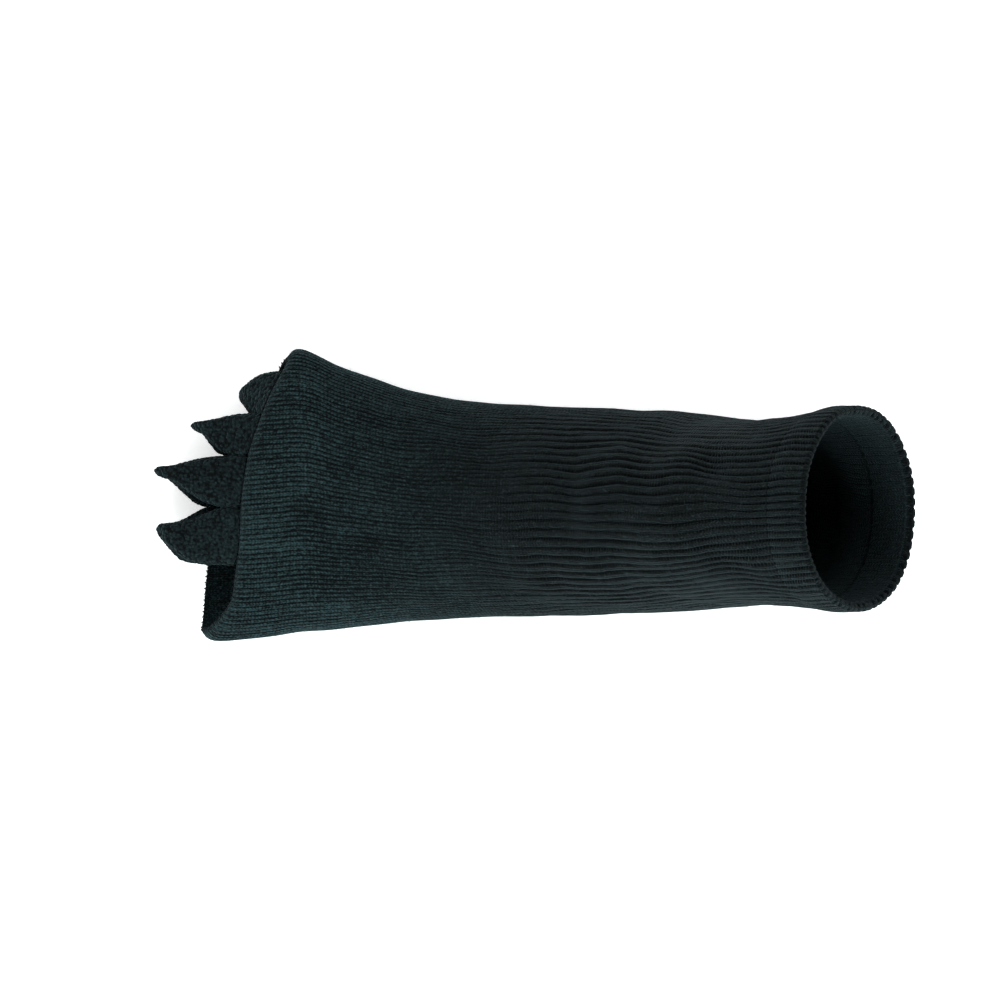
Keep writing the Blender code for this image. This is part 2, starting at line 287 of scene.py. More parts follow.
def place_mesh(name: str, mesh: bpy.types.Mesh) -> bpy.types.Object:
    """Puts a mesh in the scene at the origin.

    Args:
        name: the object's name.
        mesh: its mesh.

    Returns:
        The new object.
    """
    mesh.shade_smooth()
    piece = bpy.data.objects.new(name, mesh)
    bpy.context.scene.collection.objects.link(piece)
    return piece


def slow_ripple(across: Array, along: Array, seed: int, waves: int = 7) -> Array:
    """A soft irregular ripple between about -1 and 1, the same on every run.

    Args:
        across: position around the sock in turns.
        along: position along the sock in ripple lengths.
        seed: which ripple.
        waves: how many waves are added up.

    Returns:
        The ripple at each position.
    """
    draw = np.random.default_rng(seed)
    total = np.zeros(np.broadcast(across, along).shape)
    for _ in range(waves):
        around = draw.integers(1, 9)
        length = draw.uniform(0.6, 2.6)
        start = draw.uniform(0, 2 * math.pi)
        total += np.sin(2 * math.pi * (around * across + length * along) + start)
    return total / math.sqrt(waves) / 1.4


@dataclass
class SockForm:
    """The outer face of the worn sock, from the toe corner to the cuff."""

    length: float = 226.0 * MM
    height: float = 137.0 * MM
    width: float = 91.0 * MM
    wall: float = 2.2 * MM
    tuck: float = 2.6 * MM
    tuck_reach: float = 4.0 * MM
    steps: int = 520
    columns: int = 720
    rows: Array = field(init=False)
    places: Array = field(init=False)
    face: Array = field(init=False)
    normals: Array = field(init=False)

    def __post_init__(self) -> None:
        """Samples the face once, densely, with its normals."""
        scale = (self.length, self.height, self.length, self.height, self.width, self.width)
        table = [tuple(vars(section).values())[1:] for section in SECTIONS]
        self.rows = np.array(table) * (*scale, 1, 1, 1, 1)
        middles = (self.rows[:, 0:2] + self.rows[:, 2:4]) / 2
        run = np.cumsum(np.linalg.norm(np.diff(middles, axis=0), axis=1))
        self.places = np.concatenate([[0.0], run]) / run[-1]
        girths = np.arange(self.columns + 1) / self.columns
        knots = np.linspace(FIRST_PLACE, 1, self.steps)
        self.face = np.array([self.ring(place, girths) for place in knots])
        along = np.gradient(self.face, axis=0)
        around = np.empty_like(self.face)
        around[:, 1:-1] = self.face[:, 2:] - self.face[:, :-2]
        around[:, 0] = self.face[:, 1] - self.face[:, -2]
        around[:, -1] = around[:, 0]
        normals = np.cross(along, around)
        self.normals = normals / np.linalg.norm(normals, axis=2, keepdims=True)

    def section_at(self, place: float) -> Array:
        """The section at a place on a smooth curve through the table.

        Args:
            place: how far along the sock, 0 to 1.

        Returns:
            One row of section values.
        """
        last = len(self.places) - 1
        index = int(np.clip(np.searchsorted(self.places, place, side="right") - 1, 0, last - 1))
        gap = self.places[index + 1] - self.places[index]
        t = (place - self.places[index]) / gap
        slopes = []
        for at in (index, index + 1):
            low, high = max(at - 1, 0), min(at + 1, last)
            slopes.append((self.rows[high] - self.rows[low]) / (self.places[high] - self.places[low]))
        start = (2 * t**3 - 3 * t**2 + 1) * self.rows[index] + (t**3 - 2 * t**2 + t) * gap * slopes[0]
        end = (3 * t**2 - 2 * t**3) * self.rows[index + 1] + (t**3 - t**2) * gap * slopes[1]
        return start + end

    def ring(self, place: float, girths: Array) -> Array:
        """Points of one section, evenly spaced along its girth.

        Args:
            place: how far along the sock.
            girths: shares of the girth, 0 under the sole and 0.5 on top.

        Returns:
            One point for each share.
        """
        row = self.section_at(place)
        top_x, top_z, sole_x, sole_z, half, middle = row[:6]
        top_round, sole_round, ridge, gather = row[6:]
        spread = girths + gather * np.sin(2 * math.pi * girths) / (2 * math.pi)
        turn = np.linspace(0.0, math.pi, 181)
        points = np.empty((len(girths), 3))
        for side in (-1, 1):
            height = -np.cos(turn)
            power = np.where(height > 0, 2 / top_round, 2 / sole_round)
            across = side * np.abs(np.sin(turn)) ** power
            height = np.sign(height) * np.abs(height) ** power
            height = np.where(height > 0, height * (1 - ridge * across), height)
            rise = (height + 1) / 2
            backward = sole_x + (top_x - sole_x) * rise
            upward = sole_z + (top_z - sole_z) * rise
            outline = np.stack([backward, middle + half * across, upward], axis=1)
            run = np.concatenate([[0.0], np.cumsum(np.linalg.norm(np.diff(outline, axis=0), axis=1))])
            mine = girths <= 0.5 if side < 0 else girths > 0.5
            reach = run[-1] * (2 * spread[mine] if side < 0 else 2 - 2 * spread[mine])
            for axis in range(3):
                points[mine, axis] = np.interp(reach, run, outline[:, axis])
        return points

    def sample(self, girths: Array, places: Array) -> tuple[Array, Array]:
        """Points and normals of the face at many spots.

        Args:
            girths: shares of the girth.
            places: places along the sock, of the same shape.

        Returns:
            The points and the normals.
        """
        row = np.clip((places - FIRST_PLACE) / (1 - FIRST_PLACE), 0, 1) * (self.steps - 1)
        column = np.mod(girths, 1.0) * self.columns
        row_low = np.minimum(row.astype(int), self.steps - 2)
        column_low = np.minimum(column.astype(int), self.columns - 1)
        down = (row - row_low)[..., None]
        over = (column - column_low)[..., None]
        result = []
        for grid in (self.face, self.normals):
            near = grid[row_low, column_low] * (1 - over) + grid[row_low, column_low + 1] * over
            far = grid[row_low + 1, column_low] * (1 - over) + grid[row_low + 1, column_low + 1] * over
            result.append(near * (1 - down) + far * down)
        result[1] /= np.linalg.norm(result[1], axis=-1, keepdims=True)
        return result[0], result[1]

    def stretch(self, girths: Array, places: Array) -> Array:
        """How many metres one unit of place covers at each spot.

        Args:
            girths: shares of the girth.
            places: places along the sock.

        Returns:
            Metres per unit of place.
        """
        step = 0.004
        ahead, _ = self.sample(girths, np.minimum(places + step, 1.0))
        behind, _ = self.sample(girths, np.minimum(places + step, 1.0) - 2 * step)
        return np.linalg.norm(ahead - behind, axis=-1) / (2 * step)

    def courses(self, places: Array, pitch: float) -> Array:
        """The row of stitches at each place, counted from the toe corner.

        Args:
            places: places along the sock.
            pitch: the height of one row of stitches in metres.

        Returns:
            The row numbers, running on without a break over the whole sock.
        """
        knots = np.linspace(FIRST_PLACE, 1, self.steps)
        steps = np.linalg.norm(np.diff(self.face, axis=0), axis=2).mean(axis=1)
        run = np.concatenate([[0.0], np.cumsum(steps)]) / pitch
        return np.interp(places, knots, run)

    def rim_places(self, girths: Array) -> Array:
        """Where the toe rim lies along the sock.

        Args:
            girths: shares of the girth.

        Returns:
            One place for each share.
        """
        forward = self.length * np.array(RIM_FORWARD)
        wanted = sum(
            weight * np.interp(np.mod(girths + shift, 1.0), RIM_GIRTHS, forward)
            for weight, shift in ((0.25, -0.012), (0.5, 0.0), (0.25, 0.012))
        )
        low = np.full_like(girths, FIRST_PLACE)
        high = np.full_like(girths, 0.3)
        for _ in range(24):
            middle = (low + high) / 2
            short = self.sample(girths, middle)[0][:, 0] < wanted
            low = np.where(short, middle, low)
            high = np.where(short, high, middle)
        return (low + high) / 2

    def dents(self, girths: Array, places: Array) -> Array:
        """How far dents, swells and the looseness of the knit move the face out.

        Args:
            girths: shares of the girth.
            places: places along the sock.

        Returns:
            The lift in metres.
        """
        total = 0.09 * self.wall * slow_ripple(girths, places * 6.0, 11)
        for dent in DENTS:
            total = total + self.wall * dent.swell(girths, places)
        return total

    def rim_turn(self, distance: Array) -> Array:
        """How far the face turns in near the toe rim.

        Args:
            distance: metres behind the rim.

        Returns:
            The lift in metres, below zero.
        """
        left = np.clip(1.0 - distance / self.tuck_reach, 0.0, 1.0)
        return -self.tuck * (1.0 - np.sqrt(1.0 - 0.92 * left**2))


@dataclass
class KnitBody:
    """A closed knitted wall made of rings that may differ in how many points they have."""

    name: str
    wales: int = 144
    rings: list[Array] = field(default_factory=list)
    outs: list[Array] = field(default_factory=list)
    courses: list[Array] = field(default_factory=list)
    traits: list[Array] = field(default_factory=list)

    def add_ring(
        self,
        points: Array,
        out: Array,
        course: Array | float,
        relief: float = 0.0,
        ribs: Array | float = 0.0,
        shade: float = 0.0,
        reach: Array | float = 0.0,
    ) -> None:
        """Adds one ring.

        Args:
            points: its points, in order round the sock.
            out: the direction in which the relief rises at each point.
            course: the row of stitches at each point.
            relief: how strongly the stitches stand out here, 0 to 1.
            ribs: how far the knit is ribbed here, 0 to 1.
            shade: how much painted shade darkens the yarn here, as in a crease or inside the sock, 0 to
                1.
            reach: how far the colour has changed from its toe tone to its ankle tone, 0 to 1.
        """
        count = len(points)
        self.rings.append(points)
        self.outs.append(out)
        self.courses.append(np.broadcast_to(course, count).astype(float))
        rows = [np.broadcast_to(value, count).astype(float) for value in (relief, ribs, shade, reach)]
        self.traits.append(np.stack(rows, axis=1))

    def build(self) -> bpy.types.Object:
        """Joins the rings, the last to the first, and stores the knit's coordinates.

        Returns:
            The new object, still without its relief.
        """
        sizes = [len(ring) for ring in self.rings]
        starts = np.concatenate([[0], np.cumsum(sizes)])
        middles = [ring[:: len(ring) // self.wales] for ring in self.rings]
        middles.append(middles[0])
        runs = [float(np.linalg.norm(b - a, axis=1).mean()) for a, b in zip(middles, middles[1:])]
        heights = np.concatenate([[0.0], np.cumsum(runs)]) / sum(runs)
        groups: list[tuple[Array, Array, Array]] = []
        for index in range(len(sizes)):
            groups += self.strip(index, (index + 1) % len(sizes), starts, heights[index : index + 2])
        corners = np.concatenate([group[0].ravel() for group in groups])
        counts = np.concatenate([np.full(len(group[0]), group[0].shape[1]) for group in groups])
        mesh = mesh_of(self.name, np.concatenate(self.rings), corners, counts)
        for label, item in (("knit", 1), ("OFBake", 2)):
            flat = np.concatenate([group[item].reshape(-1, 2) for group in groups])
            mesh.uv_layers.new(name=label).uv.foreach_set("vector", flat.astype(np.float32).ravel())
        store(mesh, "wale", np.concatenate([np.arange(size) * self.wales / size for size in sizes]))
        store(mesh, "course", np.concatenate(self.courses))
        traits = np.concatenate(self.traits)
        for column, label in enumerate(("relief", "ribbed", "shade", "reach")):
            store(mesh, label, traits[:, column])
        store(mesh, "out", np.concatenate(self.outs))
        return place_mesh(self.name, mesh)

    def strip(
        self, near: int, far: int, starts: Array, heights: Array
    ) -> list[tuple[Array, Array, Array]]:
        """The faces between two rings; one may have a whole number times the other's points.

        Args:
            near: the first ring.
            far: the second ring.
            starts: the index of each ring's first point.
            heights: where the two rings lie on the flat map.

        Returns:
            Groups of corner indices, knit coordinates and flat map coordinates.
        """
        rings = (near, far)
        sizes = [len(self.rings[ring]) for ring in rings]
        base = min(sizes)
        step = np.arange(base)
        groups = []

        def face(spots: list[tuple[int, Array]]) -> None:
            """Adds one face for each column.

            Args:
                spots: the corners, each a side (0 near, 1 far) and its points.
            """
            loops, knit, flat = [], [], []
            for side, point in spots:
                size = sizes[side]
                loops.append(starts[rings[side]] + point % size)
                course = self.courses[rings[side]][point % size]
                knit.append(np.stack([point * self.wales / size, course], axis=1))
                flat.append(np.stack([point / size, np.full(base, heights[side])], axis=1))
            groups.append((np.stack(loops, 1), np.stack(knit, 1), np.stack(flat, 1)))

        if sizes[0] == sizes[1]:
            face([(0, step), (1, step), (1, step + 1), (0, step + 1)])
            return groups
        fine, coarse = (0, 1) if sizes[0] > sizes[1] else (1, 0)
        ratio = sizes[fine] // base
        for part in range(ratio):
            low, high = (fine, step * ratio + part), (fine, step * ratio + part + 1)
            apex = (coarse, step + (0 if part < ratio // 2 else 1))
            face([low, apex, high] if fine == 0 else [high, apex, low])
        middle = (fine, step * ratio + ratio // 2)
        left, right = (coarse, step), (coarse, step + 1)
        face([middle, left, right] if fine == 0 else [middle, right, left])
        return groups


def mesh_of(name: str, points: Array, corners: Array, counts: Array) -> bpy.types.Mesh:
    """Makes a mesh from flat lists.

    Args:
        name: the mesh's name.
        points: vertex positions.
        corners: vertex indices of all faces, one face after another.
        counts: how many corners each face has.

    Returns:
        The mesh.
    """
    mesh = bpy.data.meshes.new(name)
    mesh.vertices.add(len(points))
    mesh.vertices.foreach_set("co", points.astype(np.float32).ravel())
    mesh.loops.add(len(corners))
    mesh.loops.foreach_set("vertex_index", corners.astype(np.int32))
    mesh.polygons.add(len(counts))
    starts = np.concatenate([[0], np.cumsum(counts)[:-1]])
    mesh.polygons.foreach_set("loop_start", starts.astype(np.int32))
    mesh.update(calc_edges=True)
    mesh.validate()
    return mesh


def store(mesh: bpy.types.Mesh, name: str, values: Array) -> None:
    """Stores one number or one vector for each vertex.

    Args:
        mesh: the mesh.
        name: the attribute's name.
        values: the numbers, or the vectors as rows.
    """
    is_vector = np.ndim(values) == 2
    layer = mesh.attributes.new(name, "FLOAT_VECTOR" if is_vector else "FLOAT", "POINT")
    layer.data.foreach_set("vector" if is_vector else "value", np.asarray(values, np.float32).ravel())


@dataclass(frozen=True)
class GrooveShape:
    """How the grooves between ribs and between wales are cut, and how much painted shade darkens them.
    """

    rib_width: float = 0.125
    wale_width: float = 0.25
    sharpness: float = 0.72
    wale_fade: float = 0.7
    # painted shade: how strongly the rib and wale grooves darken the yarn
    rib_painted_shade: float = 1.65
    wale_painted_shade: float = 0.80
    usual: float = 0.92
    swing: float = 3.0


GROOVES = GrooveShape()


def groove(nodes: NodeBuilder, position: Socket, half_width: float) -> Socket:
    """A narrow groove at every whole number.

    Args:
        nodes: the builder of the tree.
        position: the number to look at.
        half_width: how wide the groove is, as a share of one step.

    Returns:
        1 in the groove and 0 away from it.
    """
    whole = nodes.math("ROUND", position)
    off = nodes.math("SUBTRACT", position, whole)
    near = nodes.math("DIVIDE", off, half_width)
    return nodes.math("EXPONENT", nodes.math("MULTIPLY", nodes.math("MULTIPLY", near, near), -1.0))


def read_point(nodes: NodeBuilder, name: str, kind: str = "FLOAT") -> Socket:
    """Reads a stored attribute in a geometry tree.

    Args:
        nodes: the builder of the tree.
        name: the attribute's name.
        kind: its data type.

    Returns:
        The attribute's value.
    """
    node = nodes.add("GeometryNodeInputNamedAttribute", data_type=kind)
    node.inputs["Name"].default_value = name
    return node.outputs["Attribute"]


def cloud(
    nodes: NodeBuilder, scale: float, detail: float, place: Socket | None = None
) -> bpy.types.Node:
    """Adds a noise texture.

    Args:
        nodes: the builder of the tree.
        scale: how fine it is.
        detail: how many finer layers it has.
        place: where it is read; the point's own position where none is given.

    Returns:
        The noise node.
    """
    noise = nodes.add("ShaderNodeTexNoise", noise_dimensions="3D")
    noise.inputs["Scale"].default_value = scale
    noise.inputs["Detail"].default_value = detail
    if place is not None:
        nodes.feed(noise.inputs["Vector"], place)
    return noise


def clamp(nodes: NodeBuilder, value: Socket, low: float, high: float) -> Socket:
    """Keeps a number between two limits."""
    return nodes.math("MINIMUM", nodes.math("MAXIMUM", value, low), high)


def beads(nodes: NodeBuilder, size: float, place: Socket | None = None) -> Socket:
    """Round, slightly irregular moss stitches.

    Args:
        nodes: the builder of the tree.
        size: the distance between stitches in metres.
        place: where they are read; the point's own position where none is given.

    Returns:
        1 in the middle of a stitch and 0 between stitches.
    """
    cells = nodes.add("ShaderNodeTexVoronoi", voronoi_dimensions="3D", feature="F1")
    cells.inputs["Scale"].default_value = 1.0 / size
    cells.inputs["Randomness"].default_value = 0.88
    if place is not None:
        nodes.feed(cells.inputs["Vector"], place)
    near = nodes.math("MULTIPLY", cells.outputs["Distance"], 1.35)
    return clamp(nodes, nodes.math("SUBTRACT", 1.0, nodes.math("MULTIPLY", near, near)), 0.0, 1.0)


def mix_colours(nodes: NodeBuilder, share: Socket, low: object, high: object) -> Socket:
    """Blends two colours.

    Args:
        nodes: the builder of the tree.
        share: 0 gives low and 1 gives high.
        low: the first colour.
        high: the second colour.

    Returns:
        The blended colour.
    """
    blend = nodes.add("ShaderNodeMix", data_type="RGBA", clamp_factor=True)
    nodes.feed(blend.inputs[0], share)
    nodes.feed(blend.inputs[6], low)
    nodes.feed(blend.inputs[7], high)
    return blend.outputs[2]


def warped(
    nodes: NodeBuilder, noise: bpy.types.Node, reach: float, values: list[Socket]
) -> list[Socket]:
    """Shifts two coordinates by a noise, as hand-worn stitches drift.

    Args:
        nodes: the builder of the tree.
        noise: the noise node.
        reach: how far they drift.
        values: the two coordinates.

    Returns:
        The shifted coordinates.
    """
    parts = nodes.add("ShaderNodeSeparateXYZ")
    nodes.feed(parts.inputs[0], noise.outputs["Color"])
    moved = []
    for value, part in zip(values, parts.outputs):
        moved.append(nodes.math("MULTIPLY_ADD", nodes.math("SUBTRACT", part, 0.5), reach, value))
    return moved


def jersey_depth(nodes: NodeBuilder, source: bpy.types.Node) -> tuple[Socket, Socket]:
    """How deep the knit lies between its wales and between its ribs.

    Args:
        nodes: the builder of the tree.
        source: the tree's group input node.

    Returns:
        The depth in metres, and how much painted shade darkens the groove, from 0 to 1.
    """
    wale, course, ribbed = (read_point(nodes, name) for name in ("wale", "course", "ribbed"))
    spot = nodes.add("ShaderNodeCombineXYZ")
    nodes.feed(spot.inputs[0], nodes.math("MULTIPLY", wale, 0.45))
    nodes.feed(spot.inputs[1], nodes.math("MULTIPLY", course, 0.045))
    own = cloud(nodes, 1.0, 1.0, spot.outputs[0]).outputs["Fac"]
    off = nodes.math("SUBTRACT", own, 0.5)
    vary = nodes.math("MULTIPLY_ADD", off, GROOVES.swing, GROOVES.usual)
    vary = clamp(nodes, vary, 0.25, 1.5)
    sharp = groove(nodes, nodes.math("MULTIPLY", wale, 0.5), GROOVES.rib_width)
    wave = nodes.math("COSINE", nodes.math("MULTIPLY", wale, math.pi))
    crown = nodes.math("MULTIPLY_ADD", wave, 0.5, 0.5)
    round_part = nodes.math("MULTIPLY", crown, 1 - GROOVES.sharpness)
    shape = nodes.math("ADD", nodes.math("MULTIPLY", sharp, GROOVES.sharpness), round_part)
    rib = nodes.math("MULTIPLY", nodes.math("MULTIPLY", shape, ribbed), vary)
    plain = nodes.math("MULTIPLY_ADD", ribbed, -GROOVES.wale_fade, 1.0)
    line = nodes.math("MULTIPLY", groove(nodes, wale, GROOVES.wale_width), plain)
    line = nodes.math("MULTIPLY", line, nodes.math("MULTIPLY_ADD", vary, 0.6, 0.4))
    deep = nodes.math("MULTIPLY", rib, source.outputs["Rib depth"])
    fine = nodes.math("MULTIPLY", line, source.outputs["Wale depth"])
    # Painted shade in the rib grooves and the wale grooves.
    rib_shade = nodes.math("MULTIPLY", rib, GROOVES.rib_painted_shade)
    dark = nodes.math("ADD", rib_shade, nodes.math("MULTIPLY", line, GROOVES.wale_painted_shade))
    return nodes.math("ADD", deep, fine), clamp(nodes, dark, 0.0, 1.0)


def moss_depth(nodes: NodeBuilder, source: bpy.types.Node) -> tuple[Socket, Socket]:
    """How deep the pads lie between their moss stitches.

    Args:
        nodes: the builder of the tree.
        source: the tree's group input node.

    Returns:
        The depth in metres, and how much painted shade darkens the gap between stitches, from 0 to 1.
    """
    gap = nodes.math("SUBTRACT", 1.0, beads(nodes, MOSS_STITCH))
    # The gap also serves as painted shade between the moss stitches.
    return nodes.math("MULTIPLY", gap, source.outputs["Bump"]), gap


def relief_tree(stitch: Stitch) -> bpy.types.NodeTree:
    """A geometry tree that raises the knit's relief out of a smooth wall and stores its painted shade.

    Args:
        stitch: jersey and rib, or moss.

    Returns:
        The tree.
    """
    sizes = {"Rib depth": 1.0 * MM, "Wale depth": 0.3 * MM, "Bump": 0.4 * MM, "Unevenness": 0.2 * MM}
    nodes, source = geometry_tree(f"{stitch.value}_relief", sizes)
    depth, dark = (jersey_depth if stitch is Stitch.JERSEY else moss_depth)(nodes, source)
    relief = read_point(nodes, "relief")
    rough = nodes.math("SUBTRACT", cloud(nodes, WEAR_GRAIN, 2.0).outputs["Fac"], 0.5)
    rough = nodes.math("MULTIPLY", rough, source.outputs["Unevenness"])
    lift = nodes.math("MULTIPLY", nodes.math("SUBTRACT", rough, depth), relief)
    # Painted shade: the groove's shade or the ring's own shade, whichever is darker, stored as the
    # groove attribute.
    shade = nodes.math("MAXIMUM", nodes.math("MULTIPLY", dark, relief), read_point(nodes, "shade"))
    kept = nodes.add("GeometryNodeStoreNamedAttribute", data_type="FLOAT", domain="POINT")
    kept.inputs["Name"].default_value = "groove"
    nodes.feed(kept.inputs["Geometry"], source.outputs["Geometry"])
    nodes.feed(kept.inputs["Value"], shade)
    push = nodes.add("ShaderNodeVectorMath", operation="SCALE")
    nodes.feed(push.inputs["Vector"], read_point(nodes, "out", "FLOAT_VECTOR"))
    nodes.feed(push.inputs["Scale"], lift)
    moved = nodes.add("GeometryNodeSetPosition")
    nodes.feed(moved.inputs["Geometry"], kept.outputs["Geometry"])
    nodes.feed(moved.inputs["Offset"], push.outputs["Vector"])
    close_tree(nodes, source, moved.outputs["Geometry"])
    return nodes.tree


@dataclass(frozen=True)
class Yarn:
    """A dyed yarn and the way it is knitted."""

    name: str
    toe_tone: tuple[float, float, float]
    ankle_tone: tuple[float, float, float]
    # gap: the near-black colour of the hollows between stitches, a painted shade
    gap: tuple[float, float, float]
    fuzz: tuple[float, float, float]
    stitch: Stitch
    sheen: float = 0.07
    bump: float = 0.75
    lint: float = 0.45
    # contrast: how far the hollows between stitches darken towards the gap colour, a painted shade
    contrast: float = 0.74
    # how strongly the stored groove shade darkens the yarn: painted shade in grooves, gaps, creases,
    # linings, lips and pad bases
    painted_shade: float = 1.12
    speck: float = 1.25
    streak: float = 1.2
    patch: float = 0.9

    def material(self) -> bpy.types.Material:
        """Builds the knit from its coordinates, once for all the pieces that wear it.

        Returns:
            The material.
        """
        if self.name in bpy.data.materials:
            return bpy.data.materials[self.name]
        made = bpy.data.materials.new(self.name)
        made.use_nodes = True
        nodes = NodeBuilder(made.node_tree, "ShaderNodeMath")
        shader = made.node_tree.nodes["Principled BSDF"]
        shader.inputs["Roughness"].default_value = 0.92
        shader.inputs["Specular IOR Level"].default_value = 0.06
        shader.inputs["Sheen Weight"].default_value = self.sheen
        shader.inputs["Sheen Roughness"].default_value = 0.4
        shader.inputs["Sheen Tint"].default_value = (0.55, 0.86, 0.96, 1.0)
        place = nodes.add("ShaderNodeTexCoord").outputs["Object"]
        height = self.stitches(nodes, place)
        fibre = cloud(nodes, FIBRE_GRAIN, 2.0, place).outputs["Fac"]
        patch = cloud(nodes, PATCH_GRAIN, 3.0, place).outputs["Fac"]
        speck = cloud(nodes, SPECK_GRAIN, 2.0, place).outputs["Fac"]
        # Painted shade: the hollows between stitches darken towards the gap colour.
        tone = nodes.math("MULTIPLY_ADD", height, self.contrast, 0.5 - 0.5 * self.contrast)
        tone = nodes.math("MULTIPLY_ADD", nodes.math("SUBTRACT", speck, 0.5), self.speck, tone)
        dash = nodes.math("SUBTRACT", self.dashes(nodes), 0.5)
        tone = nodes.math("MULTIPLY_ADD", dash, self.streak, tone)
        tone = nodes.math("MULTIPLY_ADD", nodes.math("SUBTRACT", patch, 0.5), self.patch, tone)
        # Painted shade from the stored groove attribute darkens the tone.
        painted_shade = nodes.add("ShaderNodeAttribute", attribute_name="groove").outputs["Fac"]
        tone = nodes.math("MULTIPLY_ADD", painted_shade, -self.painted_shade, tone)
        reach = nodes.add("ShaderNodeAttribute", attribute_name="reach").outputs["Fac"]
        crest = mix_colours(nodes, reach, (*self.toe_tone, 1.0), (*self.ankle_tone, 1.0))
        dyed = mix_colours(nodes, tone, (*self.gap, 1.0), crest)
        strand = nodes.math("MULTIPLY", nodes.math("SUBTRACT", speck, 0.60), 6.0)
        strand = nodes.math("MULTIPLY", clamp(nodes, strand, 0.0, 1.0), self.lint)
        strand = nodes.math("MULTIPLY", strand, nodes.math("MULTIPLY_ADD", painted_shade, -0.8, 1.0))
        colour = mix_colours(nodes, strand, dyed, (*self.fuzz, 1.0))
        nodes.feed(shader.inputs["Base Color"], colour)
        bump = nodes.add("ShaderNodeBump")
        bump.inputs["Strength"].default_value = self.bump
        bump.inputs["Distance"].default_value = 0.5 * MM
        nodes.feed(bump.inputs["Height"], nodes.math("MULTIPLY_ADD", fibre, 0.7, height))
        nodes.feed(shader.inputs["Normal"], bump.outputs["Normal"])
        return made

    def dashes(self, nodes: NodeBuilder) -> Socket:
        """Uneven yarn tone that runs along the wales in short dashes.

        Args:
            nodes: the builder of the material.

        Returns:
            A number from 0 to 1.
        """
        knit = nodes.add("ShaderNodeUVMap", uv_map="knit")
        stretch = nodes.add("ShaderNodeVectorMath", operation="MULTIPLY")
        nodes.feed(stretch.inputs[0], knit.outputs[0])
        nodes.feed(stretch.inputs[1], (1.25, 0.55, 1.0))
        return cloud(nodes, 1.0, 2.0, stretch.outputs[0]).outputs["Fac"]

    def stitches(self, nodes: NodeBuilder, place: Socket) -> Socket:
        """The height of the stitches, from the knit's own coordinates.

        Args:
            nodes: the builder of the material.
            place: the object's coordinates, for the drift.

        Returns:
            A number from 0 in the gaps to 1 on the yarn.
        """
        if self.stitch is Stitch.MOSS:
            return beads(nodes, MOSS_STITCH, place)
        knit = nodes.add("ShaderNodeUVMap", uv_map="knit")
        parts = nodes.add("ShaderNodeSeparateXYZ")
        nodes.feed(parts.inputs[0], knit.outputs[0])
        both = [parts.outputs[0], parts.outputs[1]]
        wale, course = warped(nodes, cloud(nodes, DRIFT_GRAIN, 1.0, place), 1.0, both)
        cell = nodes.math("MULTIPLY_ADD", nodes.math("FRACT", wale), 2.0, -1.0)
        slant = nodes.math("MULTIPLY_ADD", nodes.math("ABSOLUTE", cell), 0.75, course)
        leg = nodes.math("ABSOLUTE", nodes.math("SINE", nodes.math("MULTIPLY", slant, math.pi)))
        yarn = nodes.math("ABSOLUTE", nodes.math("SINE", nodes.math("MULTIPLY", cell, math.pi)))
        return nodes.math("MULTIPLY", nodes.math("POWER", leg, 0.6), nodes.math("POWER", yarn, 0.6))


TOE_TONE = (0.0228, 0.0462, 0.0500)
ANKLE_TONE = (0.0062, 0.0080, 0.0082)
WELT_TONE = (0.0090, 0.0126, 0.0130)
PAD_TONE = (0.0092, 0.0172, 0.0188)
# Near-black painted shade for the hollows between stitches.
HOLLOW_SHADE_TONE = (0.0007, 0.0011, 0.0012)
FUZZ_TONE = (0.036, 0.060, 0.066)

JERSEY_YARN = Yarn("jersey_yarn", TOE_TONE, ANKLE_TONE, HOLLOW_SHADE_TONE, FUZZ_TONE, Stitch.JERSEY)
RIB_YARN = Yarn("rib_yarn", TOE_TONE, ANKLE_TONE, HOLLOW_SHADE_TONE, FUZZ_TONE, Stitch.JERSEY, lint=0.35)
WELT_YARN = Yarn("welt_yarn", TOE_TONE, WELT_TONE, HOLLOW_SHADE_TONE, FUZZ_TONE, Stitch.JERSEY, lint=0.35)
MOSS_YARN = Yarn(
    "moss_yarn",
    PAD_TONE,
    ANKLE_TONE,
    HOLLOW_SHADE_TONE,
    FUZZ_TONE,
    Stitch.MOSS,
    lint=0.25,
    contrast=0.36,
    painted_shade=0.36,
)


